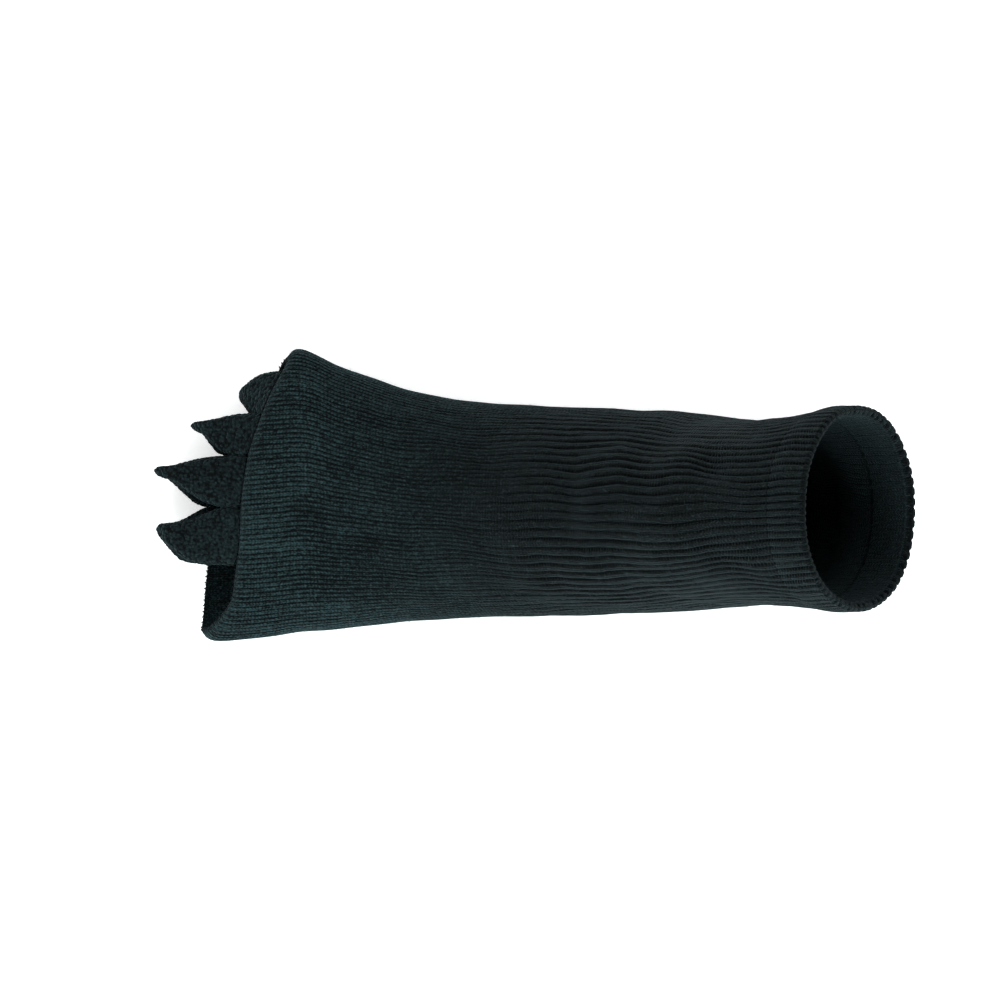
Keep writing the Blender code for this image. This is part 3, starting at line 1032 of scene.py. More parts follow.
@dataclass
class TubePart:
    """One stretch of the tube with its wall, outer face, lips and lining."""

    form: SockForm
    name: str
    node: str
    slot: str
    yarn: Yarn
    wale_columns: int = 4
    wales: int = 144
    course_pitch: float = 1.28 * MM
    lining_rows: int = 50
    rib_start: float = 0.37
    rib_full: float = 0.56
    rib_depth: float = 1.05 * MM
    drift: float = 0.0030
    shiver: float = 0.0004
    body: KnitBody = field(init=False)

    def __post_init__(self) -> None:
        """Starts an empty wall."""
        self.body = KnitBody(self.name, self.wales)

    def columns(self, fine: bool) -> Array:
        """Shares of the girth of a ring's points; a fine ring carries the wales."""
        count = self.wales * (self.wale_columns if fine else 1)
        return np.arange(count) / count

    def wander(self, girths: Array, places: Array) -> Array:
        """How the wales drift sideways.

        Args:
            girths: shares of the girth.
            places: places along the sock.

        Returns:
            The shares of the girth, shifted.
        """
        drift = self.drift * slow_ripple(girths, places * 3.6, 23)
        drift = drift + self.shiver * slow_ripple(girths * 3, places * 9.0, 29)
        bulge = sum(spread.swell(girths, places) for spread in RIB_SPREADS)
        shape = np.clip((places - 0.12) / 0.2, 0, 1) * np.clip((1.0 - places) / 0.08, 0.25, 1)
        return girths + drift * shape + bulge

    def ribbed(self, places: Array) -> Array:
        """How far the knit is ribbed at each place, 0 to 1."""
        return np.clip((places - self.rib_start) / (self.rib_full - self.rib_start), 0, 1) ** 1.3

    def toned(self, places: Array) -> Array:
        """How far the colour has changed to its ankle tone at each place, 0 to 1."""
        share = np.clip((places - 0.14) / 0.36, 0, 1)
        return share * share * (3 - 2 * share)

    def outer(self, girths: Array, places: Array, lift: Array | float) -> tuple[Array, Array]:
        """Points and normals of the outer face.

        Args:
            girths: shares of the girth.
            places: places along the sock.
            lift: extra height over the face in metres.

        Returns:
            The points and the normals.
        """
        points, normals = self.form.sample(self.wander(girths, places), places)
        height = self.form.dents(girths, places) + lift
        return points + normals * np.asarray(height)[..., None], normals

    def outer_ring(
        self, girths: Array, places: Array, lift: Array | float, ribs: Array | float
    ) -> None:
        """Adds a ring of the outer face, with its stitches.

        Args:
            girths: shares of the girth.
            places: places along the sock.
            lift: extra height over the face in metres.
            ribs: how far the knit is ribbed here, 0 to 1.
        """
        points, normals = self.outer(girths, places, lift)
        rows = self.form.courses(places, self.course_pitch)
        self.body.add_ring(points, normals, rows, 1.0, ribs, reach=self.toned(places))

    def lining_ring(
        self, places: Array, lift: Array | float, wall: Array | float, shade: float
    ) -> None:
        """Adds a ring of the inner face; its ribs show as shallow grooves.

        Args:
            places: places along the sock.
            lift: extra height of the outer face in metres.
            wall: the wall's thickness at each coarse column.
            shade: how much painted shade darkens the knit here, 0 to 1.
        """
        girths = self.columns(False)
        points, normals = self.outer(girths, places, lift)
        inner = points - normals * np.broadcast_to(wall, len(girths))[:, None]
        rows = self.form.courses(places, self.course_pitch)
        self.body.add_ring(inner, -normals, rows, shade=shade, reach=self.toned(places))

    def inner_wall(self, wall: float, places: Array) -> Array:
        """The wall's thickness at each coarse column, thinner between the ribs inside."""
        return wall + 0.4 * MM * (np.arange(self.wales) % 2) * self.ribbed(places)

    def finish(self) -> bpy.types.Object:
        """Raises the relief, hangs the piece under the root and hides the part that it replaces.

        Returns:
            The finished piece.
        """
        sizes = {"Rib depth": self.rib_depth, "Wale depth": 0.42 * MM, "Unevenness": 0.16 * MM}
        piece = grow(self.body.build(), relief_tree(Stitch.JERSEY), self.yarn.material(), sizes)
        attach(piece, "root")
        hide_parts(self.node)
        LOG.info("%s: %d faces", piece.name, len(piece.data.polygons))
        return piece


@dataclass
class FootTube(TubePart):
    """The jersey section from the toe rim to the instep, with a rolled toe rim."""

    rows: int = 122
    join: float = 0.50
    set_back: float = 0.9 * MM

    def build(self) -> bpy.types.Object:
        """Builds the section from the rim backwards, then the lining and the rolled lip.

        Returns:
            The finished piece.
        """
        form, fine = self.form, self.columns(True)
        rim = form.rim_places(fine)
        rim = rim + self.set_back / form.stretch(fine, rim)
        pace = form.stretch(fine, rim)
        share = np.linspace(0, 1, self.rows)
        share = 0.55 * share**2 + 0.45 * share
        share = np.insert(share, -1, 1 - 0.0005)
        for step in share:
            places = rim + (self.join - rim) * step
            self.outer_ring(fine, places, form.rim_turn((places - rim) * pace), self.ribbed(places))
        near_rim, near_pace = rim[:: self.wale_columns], pace[:: self.wale_columns]
        for step in np.linspace(1, 0.03, self.lining_rows):
            places = near_rim + (self.join - near_rim) * step
            turn = form.rim_turn((places - near_rim) * near_pace)
            # The lining is darkened with painted shade.
            self.lining_ring(places, turn, self.inner_wall(form.wall, places), 0.35)
        self.add_lip(fine, rim)
        return self.finish()

    def add_lip(self, girths: Array, rim: Array) -> None:
        """Adds the round lip that closes the wall at the toe rim.

        Args:
            girths: shares of the girth.
            rim: the place of the rim at each share.
        """
        form = self.form
        pace = form.stretch(girths, rim)
        tip, normals = self.outer(girths, rim, form.rim_turn(np.zeros(len(rim))))
        behind, _ = self.outer(girths, rim + 0.004, form.rim_turn(0.004 * pace))
        ahead = tip - behind
        ahead -= normals * np.sum(ahead * normals, axis=1, keepdims=True) * 0.4
        ahead /= np.linalg.norm(ahead, axis=1, keepdims=True)
        middle = tip - normals * form.wall / 2
        rows = form.courses(rim, self.course_pitch)
        for turn in np.linspace(math.pi, 0, 9)[:-1]:
            out = normals * math.cos(turn) + 0.85 * ahead * math.sin(turn)
            ring = middle + form.wall / 2 * out
            turned_rows = rows - 1.5 * math.sin(turn)
            # Painted shade on the rolled lip, darkest halfway round its turn.
            shade = 0.58 + 0.22 * math.sin(turn)
            self.body.add_ring(ring, out, turned_rows, relief=0.7, shade=shade)

    def rim_dots(self, pitch: float) -> tuple[Array, Array, Array]:
        """Evenly spaced points over the toe rim, for a row of stitches.

        Args:
            pitch: the distance between stitches in metres.

        Returns:
            Points, directions along the rim and directions outwards.
        """
        form, fine = self.form, self.columns(True)
        rim = form.rim_places(fine)
        rim = rim + self.set_back / form.stretch(fine, rim)
        tip, normals = self.outer(fine, rim, form.rim_turn(np.zeros(len(rim))))
        behind, _ = self.outer(fine, rim + 0.004, 0.0)
        ahead = (tip - behind) / np.linalg.norm(tip - behind, axis=1, keepdims=True)
        line = tip - normals * form.wall * 0.35 + ahead * form.wall * 0.42
        return even_dots(line, ahead + 0.3 * normals, pitch)


def even_dots(line: Array, out: Array, pitch: float) -> tuple[Array, Array, Array]:
    """Spaces points evenly over a closed line.

    Args:
        line: the line's points.
        out: the outward direction at each of them.
        pitch: the wanted distance between points in metres.

    Returns:
        Points, directions along the line and outward directions.
    """
    closed = np.concatenate([line, line[:1]])
    sides = np.concatenate([out, out[:1]])
    run = np.concatenate([[0.0], np.cumsum(np.linalg.norm(np.diff(closed, axis=0), axis=1))])
    spots = np.linspace(0, run[-1], round(run[-1] / pitch), endpoint=False)

    def read(rows: Array, at: Array) -> Array:
        """Reads rows at distances along the line."""
        return np.stack([np.interp(at % run[-1], run, rows[:, axis]) for axis in range(3)], axis=1)

    along = read(closed, spots + 0.4 * MM) - read(closed, spots - 0.4 * MM)
    along /= np.linalg.norm(along, axis=1, keepdims=True)
    outward = read(sides, spots)
    return read(closed, spots), along, outward / np.linalg.norm(outward, axis=1, keepdims=True)


@dataclass
class AnkleRib(TubePart):
    """The ribbed section from the instep over heel and ankle to the welt."""

    rows: int = 138
    join: float = 0.50
    end: float = 0.931

    def build(self) -> bpy.types.Object:
        """Builds the outer face and the lining.

        Returns:
            The finished piece.
        """
        fine = self.columns(True)
        last = self.end + 0.002
        steps = np.linspace(self.join, last, self.rows)
        steps = np.insert(steps, 1, self.join + 0.0002)
        for place in steps:
            places = np.full(len(fine), place)
            self.outer_ring(fine, places, 0.0, self.ribbed(places))
        for place in np.linspace(last, self.join, self.lining_rows):
            places = np.full(self.wales, place)
            # The lining is darkened with painted shade.
            self.lining_ring(places, 0.0, self.inner_wall(self.form.wall, places), 0.35)
        return self.finish()


@dataclass
class CuffWelt(TubePart):
    """The turned band at the top, with a rounded hem."""

    start: float = 0.931
    step_out: float = 0.45 * MM
    wall: float = 3.0 * MM
    hem_back: float = 1.6 * MM
    belly: float = 0.3 * MM
    settle: float = 0.1 * MM

    def build(self) -> bpy.types.Object:
        """Builds the band from its lower edge over the hem to its inside.

        Returns:
            The finished piece.
        """
        fine, form = self.columns(True), self.form
        hem = self.hem_places(fine)
        self.add_fold(fine)
        for step in np.linspace(0, 1, 26):
            places = self.start + (hem - self.start) * step
            self.outer_ring(fine, places, self.band_lift(step), 1.0)
        self.add_hem(fine, hem)
        near_hem = hem[:: self.wale_columns]
        for step in np.linspace(0.96, 0, 12):
            places = self.start + (near_hem - self.start) * step
            wall = self.inner_wall(self.wall, np.ones(self.wales))
            # The band's lining is darkened with painted shade, more towards its lower edge.
            self.lining_ring(places, self.step_out, wall, 0.35 * (1 - step) + 0.1)
        return self.finish()

    def band_lift(self, step: float) -> float:
        """How far the band stands out of the ribs at a share of its height."""
        rise = self.step_out * (1 - math.exp(-step * 9)) - self.settle
        return rise + self.belly * math.sin(math.pi * step) ** 2

    def add_fold(self, girths: Array) -> None:
        """Adds the tucked lower edge of the band, which lies against the ribs.

        Args:
            girths: shares of the girth.
        """
        places = np.full(len(girths), self.start)
        points, normals = self.outer(girths, places, -0.5 * MM)
        rows = self.form.courses(places, self.course_pitch)
        # The tucked edge is darkened with painted shade.
        self.body.add_ring(points, normals, rows, relief=1.0, ribs=1.0, shade=0.8, reach=1.0)

    def hem_places(self, girths: Array) -> Array:
        """Where the hem starts to turn over at each share of the girth."""
        return 1.0 - self.hem_back / self.form.stretch(girths, np.full(len(girths), 0.99))

    def add_hem(self, girths: Array, hem: Array) -> None:
        """Adds the rounded hem, which each rib turns over.

        Args:
            girths: shares of the girth.
            hem: the place of the hem at each share.
        """
        tip, normals = self.outer(girths, hem, self.band_lift(1.0))
        behind, _ = self.outer(girths, hem - 0.004, self.band_lift(1.0))
        ahead = (tip - behind) / np.linalg.norm(tip - behind, axis=1, keepdims=True)
        middle = tip - normals * self.wall / 2
        rows = self.form.courses(hem, self.course_pitch)
        for turn in np.linspace(0, math.pi, 13)[1:]:
            out = normals * math.cos(turn) + ahead * math.sin(turn)
            relief = 0.35 + 0.65 * math.cos(turn) ** 2
            ring = middle + self.wall / 2 * out
            # The hem is darkened with painted shade (the 0.45).
            self.body.add_ring(ring, out, rows + 2.4 * turn / math.pi, relief, 1.0, 0.45, 1.0)

    def hem_dots(self, pitch: float) -> tuple[Array, Array, Array]:
        """Evenly spaced points over the hem, for its row of loops.

        Args:
            pitch: the distance between loops in metres.

        Returns:
            Points, directions along the hem and directions outwards.
        """
        fine = self.columns(True)
        hem = self.hem_places(fine)
        tip, normals = self.outer(fine, hem, self.band_lift(1.0))
        behind, _ = self.outer(fine, hem - 0.004, self.band_lift(1.0))
        ahead = (tip - behind) / np.linalg.norm(tip - behind, axis=1, keepdims=True)
        line = tip - normals * self.wall * 0.5 + ahead * self.wall * 0.40
        return even_dots(line, ahead, pitch)


@dataclass(frozen=True)
class PadShape:
    """Where a separator lies, and its widths and drift from its tip to its base."""

    name: str
    tip_x: float
    base_y: float
    width: float
    tip_top: float
    lengths: tuple[float, ...]
    widths: tuple[float, ...]
    shifts: tuple[float, ...]


PADS = (
    PadShape(
        "toe_separator_1", -0.846, -0.086, 0.204, 0.120,
        (0.00, 0.04, 0.18, 0.38, 0.60, 0.80, 1.00),
        (0.10, 0.21, 0.42, 0.66, 0.85, 0.97, 1.00),
        (0.12, 0.10, 0.02, -0.06, -0.04, 0.00, 0.00),
    ),
    PadShape(
        "toe_separator_2", -0.849, 0.109, 0.183, 0.116,
        (0.00, 0.04, 0.20, 0.38, 0.58, 0.79, 1.00),
        (0.08, 0.16, 0.29, 0.54, 0.82, 0.97, 1.00),
        (0.20, 0.19, 0.16, 0.10, 0.03, 0.00, 0.00),
    ),
    PadShape(
        "toe_separator_3", -0.797, 0.274, 0.148, 0.110,
        (0.00, 0.05, 0.20, 0.38, 0.57, 0.78, 1.00),
        (0.08, 0.17, 0.32, 0.60, 0.86, 0.98, 1.00),
        (0.21, 0.20, 0.17, 0.08, 0.02, 0.00, 0.00),
    ),
    PadShape(
        "toe_separator_4", -0.728, 0.420, 0.151, 0.104,
        (0.00, 0.08, 0.24, 0.42, 0.60, 0.80, 1.00),
        (0.14, 0.32, 0.55, 0.77, 0.92, 0.99, 1.00),
        (-0.04, -0.04, -0.03, -0.01, 0.00, 0.00, 0.00),
    ),
)

# One side of a pad's section, from its underside to its top: the crown is domed, the waist thin.
FLARE_HEIGHTS = (
    0.0, 0.02, 0.05, 0.09, 0.14, 0.21, 0.29, 0.40,
    0.60, 0.71, 0.79, 0.86, 0.91, 0.95, 0.98, 1.0,
)
FLARE_OUT = (
    0.10, 0.55, 0.80, 0.95, 1.00, 0.78, 0.30, 0.03,
    0.03, 0.30, 0.78, 1.00, 0.95, 0.80, 0.55, 0.10,
)


def smooth_through(at: Array, knots: tuple[float, ...], values: tuple[float, ...]) -> Array:
    """A smooth curve through a short table.

    Args:
        at: where to read it.
        knots: the table's positions, rising.
        values: the table's values.

    Returns:
        The value at each position.
    """
    x, y = np.array(knots), np.array(values)
    slopes = np.gradient(y, x)
    index = np.clip(np.searchsorted(x, at, side="right") - 1, 0, len(x) - 2)
    gap = x[index + 1] - x[index]
    t = (at - x[index]) / gap
    start = (2 * t**3 - 3 * t**2 + 1) * y[index] + (t**3 - 2 * t**2 + t) * gap * slopes[index]
    end = (3 * t**2 - 2 * t**3) * y[index + 1] + (t**3 - t**2) * gap * slopes[index + 1]
    return start + end


@dataclass
class Separator:
    """A stuffed pad between two toes, knitted in moss stitch."""

    form: SockForm
    shape: PadShape
    around: int = 216
    along: int = 110
    waist: float = 3.4 * MM
    step_down: float = 0.3 * MM
    floor: float = 0.018
    stitch: float = 1.0 * MM
    spare: float = 0.5 * MM
    bud_reach: float = 0.34
    bud_height: float = 0.22
    bud_level: float = 0.56

    def build(self) -> bpy.types.Object:
        """Returns:
            The finished piece.
        """
        name = self.shape.name.replace("toe_separator", "padded_separator")
        rings = self.rings()
        points = np.concatenate([rings.reshape(-1, 3), rings[:1].mean(axis=1), rings[-1:].mean(axis=1)])
        mesh = self.closed_mesh(name, points)
        base = place_mesh(name, mesh)
        sizes = {"Bump": 0.26 * MM, "Unevenness": 0.45 * MM}
        piece = grow(base, relief_tree(Stitch.MOSS), MOSS_YARN.material(), sizes)
        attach(piece, "root")
        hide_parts(self.shape.name)
        LOG.info("%s: %d faces", piece.name, len(piece.data.polygons))
        return piece

    def rim_lines(self) -> tuple[Array, Array]:
        """The toe rim over its top and its sole, as points in the order of y.

        Returns:
            The top line and the sole line.
        """
        girths = np.arange(144) / 144
        places = self.form.rim_places(girths)
        points, normals = self.form.sample(girths, places)
        points = points + normals * self.form.rim_turn(np.zeros(1))[0]
        upper = (girths > 0.25) & (girths < 0.75)
        lines = []
        for mine in (points[upper], points[~upper]):
            lines.append(mine[np.argsort(mine[:, 1])])
        return lines[0], lines[1]

    def rings(self) -> Array:
        """The pad's sections from its tip to its base.

        Returns:
            Points by section and by position round it.
        """
        shape, form = self.shape, self.form
        top_line, sole_line = self.rim_lines()
        share = np.linspace(0, 1, self.along) ** 1.25
        base_width = shape.width * form.width + self.spare
        half = 0.5 * base_width * smooth_through(share, shape.lengths, shape.widths)
        drift = base_width * smooth_through(share, shape.lengths, shape.shifts)
        middle = shape.base_y * form.width + drift
        turn = np.linspace(0, 2 * math.pi, self.around, endpoint=False)
        height = (1 - np.cos(turn)) / 2
        side = np.where(turn < math.pi, 1.0, -1.0)
        flare = smooth_through(height, FLARE_HEIGHTS, FLARE_OUT)
        pinch = np.clip(np.minimum(height, 1 - height) / 0.02, 0, 1)
        result = np.empty((self.along, self.around, 3))
        for index, step in enumerate(share):
            waist = min(0.5 * self.waist, half[index])
            out = waist + (half[index] - waist) * flare
            out = out * np.sqrt(pinch)
            y = middle[index] + side * out
            tip_round = math.sqrt(max(1 - (1 - min(step / 0.05, 1)) ** 2, 0))
            y = middle[index] + (y - middle[index]) * (0.25 + 0.75 * tip_round)
            top_x = np.interp(y, top_line[:, 1], top_line[:, 0])
            sole_x = np.interp(y, sole_line[:, 1], sole_line[:, 0])
            base_x = sole_x + (top_x - sole_x) * height + 0.5 * MM
            tip_x = shape.tip_x * form.length
            rim_top = np.interp(y, top_line[:, 1], top_line[:, 2]) - self.step_down
            rim_sole = np.interp(y, sole_line[:, 1], sole_line[:, 2]) + self.step_down
            top = shape.tip_top * form.height * (1 - step) + rim_top * step
            sole = self.floor * form.height * (1 - step) + rim_sole * step
            level = self.bud_level + (height - self.bud_level) * self.nose(step)
            result[index, :, 0] = tip_x + (base_x - tip_x) * step
            result[index, :, 1] = y
            result[index, :, 2] = sole + (top - sole) * level
        return result

    def nose(self, step: float) -> float:
        """How high the pad stands at a share of its length; its tip is a rounded bud."""
        left = max(1.0 - step / self.bud_reach, 0.0)
        return self.bud_height + (1.0 - self.bud_height) * math.sqrt(1.0 - left**2)

    def closed_mesh(self, name: str, points: Array) -> bpy.types.Mesh:
        """Joins the sections and closes both ends.

        Args:
            name: the mesh's name.
            points: the sections' points, then the tip's and the base's middle.

        Returns:
            The mesh with the knit's coordinates.
        """
        count, rows = self.around, self.along
        step = np.arange(count)
        corners, counts, coords = [], [], []
        body = points[: rows * count].reshape(rows, count, 3)
        sides = np.linalg.norm(np.roll(body, -1, axis=1) - body, axis=2)
        run = np.concatenate([[0.0], np.cumsum(sides[rows * 2 // 3])]) / self.stitch
        run *= round(run[-1]) / run[-1]
        paces = np.linalg.norm(np.diff(body.mean(axis=1), axis=0), axis=1)
        down = np.concatenate([[0.0], np.cumsum(paces)]) / self.stitch
        for row in range(rows - 1):
            near, far = row * count, (row + 1) * count
            after = (step + 1) % count
            loop = [near + step, near + after, far + after, far + step]
            corners.append(np.stack(loop, axis=1).ravel())
            counts.append(np.full(count, 4))
            places = [(step, row), (step + 1, row), (step + 1, row + 1), (step, row + 1)]
            spots = [np.stack([run[at], np.full(count, down[on])], 1) for at, on in places]
            coords.append(np.stack(spots, 1))
        for row, pole, turned in ((0, rows * count, False), (rows - 1, rows * count + 1, True)):
            edge = row * count
            after = (step + 1) % count
            fan = (edge + step, edge + after) if turned else (edge + after, edge + step)
            corners.append(np.stack([np.full(count, pole), *fan], axis=1).ravel())
            counts.append(np.full(count, 3))
            coords.append(np.stack([np.stack([run[step], np.full(count, down[row])], 1)] * 3, 1))
        mesh = mesh_of(name, points, np.concatenate(corners), np.concatenate(counts))
        layer = mesh.uv_layers.new(name="knit")
        flat = np.concatenate([group.reshape(-1, 2) for group in coords])
        layer.uv.foreach_set("vector", flat.astype(np.float32).ravel())
        ends = np.zeros(2)
        store(mesh, "relief", np.concatenate([np.ones(rows * count), ends]))
        # Painted shade where the pad's base sinks in at the toe rim.
        base_shade = np.clip((down / down[-1] - 0.93) / 0.07, 0, 1)
        store(mesh, "shade", np.concatenate([np.repeat(0.8 * base_shade, count), ends]))
        normals = np.empty(len(points) * 3, np.float32)
        mesh.vertices.foreach_get("normal", normals)
        store(mesh, "out", normals.reshape(-1, 3))
        return mesh


@dataclass(frozen=True)
class Thread:
    """A matt thread or fibre, uneven in tone along its length."""

    name: str
    colour: tuple[float, float, float]
    grain: float
    detail: float
    spread: float
    roughness: float
    shine: float

    def material(self) -> bpy.types.Material:
        """Builds the thread's material.

        Returns:
            The material.
        """
        made = bpy.data.materials.new(self.name)
        made.use_nodes = True
        nodes = NodeBuilder(made.node_tree, "ShaderNodeMath")
        shader = made.node_tree.nodes["Principled BSDF"]
        shader.inputs["Roughness"].default_value = self.roughness
        shader.inputs["Specular IOR Level"].default_value = self.shine
        place = nodes.add("ShaderNodeTexCoord").outputs["Object"]
        uneven = cloud(nodes, self.grain, self.detail, place).outputs["Fac"]
        dark = (*((1 - self.spread) * part for part in self.colour), 1.0)
        light = (*((1 + self.spread) * part for part in self.colour), 1.0)
        nodes.feed(shader.inputs["Base Color"], mix_colours(nodes, uneven, dark, light))
        return made


def bent_tube(
    nodes: NodeBuilder,
    spots: tuple[tuple[object, object], ...],
    segments: int,
    sides: int,
    thickness: Socket,
) -> Socket:
    """A short tube along a bend.

    Args:
        nodes: the builder of the tree.
        spots: how far across and up the start, the middle and the end lie.
        segments: how many pieces the bend has.
        sides: how many sides the tube has.
        thickness: how thick the tube is.

    Returns:
        The tube's mesh.
    """
    bend = nodes.add("GeometryNodeCurveQuadraticBezier")
    bend.inputs["Resolution"].default_value = segments
    for label, (across, up) in zip(("Start", "Middle", "End"), spots):
        spot = nodes.add("ShaderNodeCombineXYZ")
        nodes.feed(spot.inputs[0], across)
        nodes.feed(spot.inputs[2], up)
        nodes.feed(bend.inputs[label], spot.outputs[0])
    ring = nodes.add("GeometryNodeCurvePrimitiveCircle")
    ring.inputs["Resolution"].default_value = sides
    nodes.feed(ring.inputs["Radius"], nodes.math("MULTIPLY", thickness, 0.5))
    tube = nodes.add("GeometryNodeCurveToMesh")
    nodes.feed(tube.inputs["Curve"], bend.outputs["Curve"])
    nodes.feed(tube.inputs["Profile Curve"], ring.outputs["Curve"])
    tube.inputs["Fill Caps"].default_value = True
    return tube.outputs["Mesh"]


@dataclass
class StitchRow:
    """A row of small thread stitches laid over an edge."""

    name: str
    slot: str
    length: float
    rise: float
    thickness: float
    colour: tuple[float, float, float]

    def build(self, dots: tuple[Array, Array, Array], turned: bool) -> bpy.types.Object:
        """Puts one stitch on each point.

        Args:
            dots: points, directions along the row and directions outwards.
            turned: True where a stitch lies across the row.

        Returns:
            The finished piece.
        """
        points, along, out = dots
        lay = np.cross(out, along) if turned else along
        mesh = bpy.data.meshes.new(self.name)
        mesh.vertices.add(len(points))
        mesh.vertices.foreach_set("co", points.astype(np.float32).ravel())
        mesh.update()
        store(mesh, "lay", lay)
        store(mesh, "out", out)
        base = place_mesh(self.name, mesh)
        sizes = {"Length": self.length, "Rise": self.rise, "Thickness": self.thickness}
        thread = Thread(
            f"{self.name}_thread",
            self.colour,
            grain=2400.0,
            detail=2.0,
            spread=0.5,
            roughness=0.85,
            shine=0.08,
        )
        piece = grow(base, self.tree(), thread.material(), sizes)
        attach(piece, "root")
        LOG.info("%s: %d faces", piece.name, len(piece.data.polygons))
        return piece

    def tree(self) -> bpy.types.NodeTree:
        """A geometry tree that lays one bent stitch on each point.

        Returns:
            The tree.
        """
        sizes = {"Length": self.length, "Rise": self.rise, "Thickness": self.thickness}
        nodes, source = geometry_tree(self.name, sizes)
        half = nodes.math("MULTIPLY", source.outputs["Length"], 0.5)
        back = nodes.math("MULTIPLY", half, -1.0)
        spots = ((back, 0.0), (0.0, source.outputs["Rise"]), (half, 0.0))
        stitch = bent_tube(nodes, spots, 5, 6, source.outputs["Thickness"])
        first = nodes.add("FunctionNodeAlignRotationToVector", axis="Z")
        nodes.feed(first.inputs["Vector"], read_point(nodes, "out", "FLOAT_VECTOR"))
        second = nodes.add("FunctionNodeAlignRotationToVector", axis="X", pivot_axis="Z")
        nodes.feed(second.inputs["Rotation"], first.outputs[0])
        nodes.feed(second.inputs["Vector"], read_point(nodes, "lay", "FLOAT_VECTOR"))
        copies = nodes.add("GeometryNodeInstanceOnPoints")
        nodes.feed(copies.inputs["Points"], source.outputs["Geometry"])
        nodes.feed(copies.inputs["Instance"], stitch)
        nodes.feed(copies.inputs["Rotation"], second.outputs[0])
        close_tree(nodes, source, copies.outputs["Instances"])
        return nodes.tree


@dataclass
class Lint:
    """Short loose fibres that stand off the worn knit."""

    name: str
    wearer: bpy.types.Object
    slot: str
    seed: int
    density: float = 52000.0
    length: float = 1.5 * MM
    thickness: float = 0.055 * MM
    colour: tuple[float, float, float] = (0.030, 0.048, 0.053)
    curl: tuple[tuple[float, float], ...] = ((0.0, -0.15), (0.15, 0.55), (0.75, 0.45))

    def build(self) -> bpy.types.Object:
        """Scatters the fibres over the outer face of the piece that wears them.

        Returns:
            The finished piece.
        """
        mesh = self.wearer.data.copy()
        mesh.name = self.name
        base = place_mesh(self.name, mesh)
        sizes = {"Density": self.density, "Length": self.length, "Thickness": self.thickness}
        fibre = Thread(
            f"{self.name}_fibre",
            self.colour,
            grain=500.0,
            detail=1.0,
            spread=0.6,
            roughness=0.8,
            shine=0.1,
        )
        piece = grow(base, self.tree(), fibre.material(), sizes)
        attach(piece, "root")
        LOG.info("%s: %d faces", piece.name, len(piece.data.polygons))
        return piece

    def tree(self) -> bpy.types.NodeTree:
        """A geometry tree that scatters bent fibres over the stitches.

        Returns:
            The tree.
        """
        sizes = {"Density": self.density, "Length": self.length, "Thickness": self.thickness}
        nodes, source = geometry_tree(self.name, sizes)
        spread = nodes.add("GeometryNodeDistributePointsOnFaces", distribute_method="RANDOM")
        nodes.feed(spread.inputs["Mesh"], source.outputs["Geometry"])
        dense = nodes.math("MULTIPLY", read_point(nodes, "relief"), source.outputs["Density"])
        nodes.feed(spread.inputs["Density"], dense)
        spread.inputs["Seed"].default_value = self.seed
        length = source.outputs["Length"]
        spots = tuple(
            (nodes.math("MULTIPLY", length, across), nodes.math("MULTIPLY", length, up))
            for across, up in self.curl
        )
        fibre = bent_tube(nodes, spots, 3, 3, source.outputs["Thickness"])
        turn = nodes.add("FunctionNodeRandomValue", data_type="FLOAT_VECTOR")
        turn.inputs[0].default_value = (-0.5, -0.5, 0.0)
        turn.inputs[1].default_value = (0.5, 0.5, 2 * math.pi)
        turn.inputs["Seed"].default_value = self.seed + 1
        euler = nodes.add("FunctionNodeEulerToRotation")
        nodes.feed(euler.inputs[0], turn.outputs[0])
        both = nodes.add("FunctionNodeRotateRotation", rotation_space="LOCAL")
        nodes.feed(both.inputs["Rotation"], spread.outputs["Rotation"])
        nodes.feed(both.inputs["Rotate By"], euler.outputs[0])
        size = nodes.add("FunctionNodeRandomValue", data_type="FLOAT")
        size.inputs[2].default_value = 0.4
        size.inputs[3].default_value = 1.3
        size.inputs["Seed"].default_value = self.seed + 2
        copies = nodes.add("GeometryNodeInstanceOnPoints")
        nodes.feed(copies.inputs["Points"], spread.outputs["Points"])
        nodes.feed(copies.inputs["Instance"], fibre)
        nodes.feed(copies.inputs["Rotation"], both.outputs[0])
        nodes.feed(copies.inputs["Scale"], size.outputs[1])
        close_tree(nodes, source, copies.outputs["Instances"])
        return nodes.tree


@dataclass(frozen=True)
class Lamp:
    """A square soft light: where it hangs, its side in metres and its power in watts."""

    name: str
    place: tuple[float, float, float]
    size: float
    power: float


LAMPS = (
    Lamp("key", (-0.10, -0.95, 0.90), 0.9, 19.0),
    Lamp("fill", (-0.30, 0.70, 1.3), 1.2, 3.5),
)


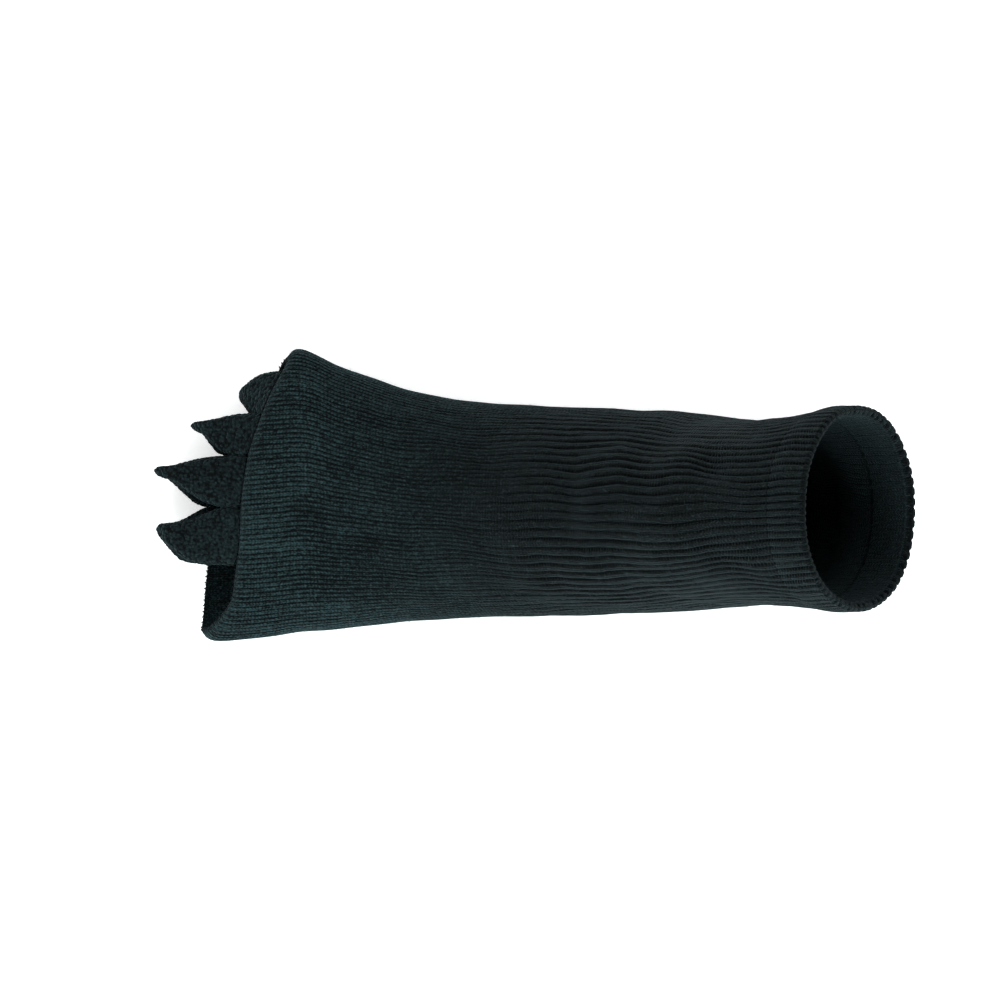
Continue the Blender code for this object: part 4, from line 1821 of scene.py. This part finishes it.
@dataclass
class Studio:
    """The pale floor, the soft lights and the camera over the instep."""

    target: tuple[float, float, float] = (-80.0 * MM, 3.84 * MM, 25.0 * MM)
    distance: float = 1.5
    frame_width: float = 0.320
    sensor: float = 36.0
    floor_z: float = -3.9 * MM
    glow: float = 0.42
    floor_reach: float = 6.0

    def build(self) -> None:
        """Sets up everything round the sock."""
        self.build_floor()
        self.build_camera()
        self.build_lights()

    def build_floor(self) -> None:
        """Lays a large pale floor just under the sole."""
        far = self.floor_reach
        corners = np.array([(-far, -far, 0), (far, -far, 0), (far, far, 0), (-far, far, 0)])
        mesh = mesh_of("floor", corners + (0, 0, self.floor_z), np.arange(4), np.array([4]))
        floor = place_mesh("floor", mesh)
        paper = bpy.data.materials.new("paper")
        paper.use_nodes = True
        shader = paper.node_tree.nodes["Principled BSDF"]
        shader.inputs["Base Color"].default_value = (0.93, 0.93, 0.93, 1.0)
        shader.inputs["Roughness"].default_value = 0.9
        shader.inputs["Specular IOR Level"].default_value = 0.1
        shader.inputs["Emission Color"].default_value = (1.0, 1.0, 1.0, 1.0)
        shader.inputs["Emission Strength"].default_value = self.glow
        mesh.materials.append(paper)

    def build_camera(self) -> None:
        """Hangs the camera straight over the instep, with the little toe side up."""
        lens = bpy.data.cameras.new("camera")
        lens.sensor_width = self.sensor
        lens.lens = self.sensor * self.distance / self.frame_width
        lens.clip_end = 20.0
        camera = bpy.data.objects.new("camera", lens)
        x, y, z = self.target
        camera.location = (x, y, z + self.distance)
        bpy.context.scene.collection.objects.link(camera)
        bpy.context.scene.camera = camera

    def build_lights(self) -> None:
        """Adds an even sky, the main light on the big toe side and a weak one opposite."""
        world = bpy.data.worlds.new("sky")
        world.use_nodes = True
        world.node_tree.nodes["Background"].inputs["Color"].default_value = (1.0, 1.0, 1.0, 1.0)
        world.node_tree.nodes["Background"].inputs["Strength"].default_value = 1.0
        bpy.context.scene.world = world
        for lamp in LAMPS:
            self.add_light(lamp)

    def add_light(self, lamp: Lamp) -> None:
        """Adds one faintly cool soft light that looks at the sock.

        Args:
            lamp: where it hangs, how large and how strong it is.
        """
        bulb = bpy.data.lights.new(lamp.name, "AREA")
        bulb.color = (0.84, 1.0, 1.0)
        bulb.size = lamp.size
        bulb.energy = lamp.power
        light = bpy.data.objects.new(lamp.name, bulb)
        light.location = lamp.place
        towards = np.array(self.target) - np.array(lamp.place)
        level = math.hypot(towards[0], towards[1])
        turn = math.atan2(towards[1], towards[0]) - math.pi / 2
        light.rotation_euler = (math.atan2(level, -towards[2]), 0, turn)
        bpy.context.scene.collection.objects.link(light)


def main() -> None:
    """Loads the frame, builds the sock piece by piece and notes the sizes."""
    logging.basicConfig(level=logging.INFO, format="%(name)s: %(message)s")
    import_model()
    Studio().build()
    form = SockForm()
    foot = FootTube(form, "foot_knit", "foot_tube", "foot_knit", JERSEY_YARN)
    ankle = AnkleRib(form, "ankle_knit", "ankle_rib", "rib_knit", RIB_YARN)
    cuff = CuffWelt(form, "cuff_band", "cuff_welt", "welt_knit", WELT_YARN)
    foot_piece, ankle_piece = foot.build(), ankle.build()
    cuff.build()
    for shape in PADS:
        Separator(form, shape).build()
    rim = StitchRow(
        "rim_stitches",
        "foot_knit",
        length=1.5 * MM,
        rise=0.45 * MM,
        thickness=0.42 * MM,
        colour=(0.006, 0.010, 0.011),
    )
    rim.build(foot.rim_dots(1.9 * MM), turned=True)
    hem = StitchRow(
        "hem_loops",
        "welt_knit",
        length=1.45 * MM,
        rise=0.24 * MM,
        thickness=0.46 * MM,
        colour=(0.0045, 0.0062, 0.0066),
    )
    hem.build(cuff.hem_dots(1.20 * MM), turned=False)
    Lint("foot_lint", foot_piece, "foot_knit", 5).build()
    Lint("ankle_lint", ankle_piece, "rib_knit", 9, density=30000.0).build()
    bpy.context.scene.view_settings.view_transform = "Standard"


if __name__ == "__main__":
    main()
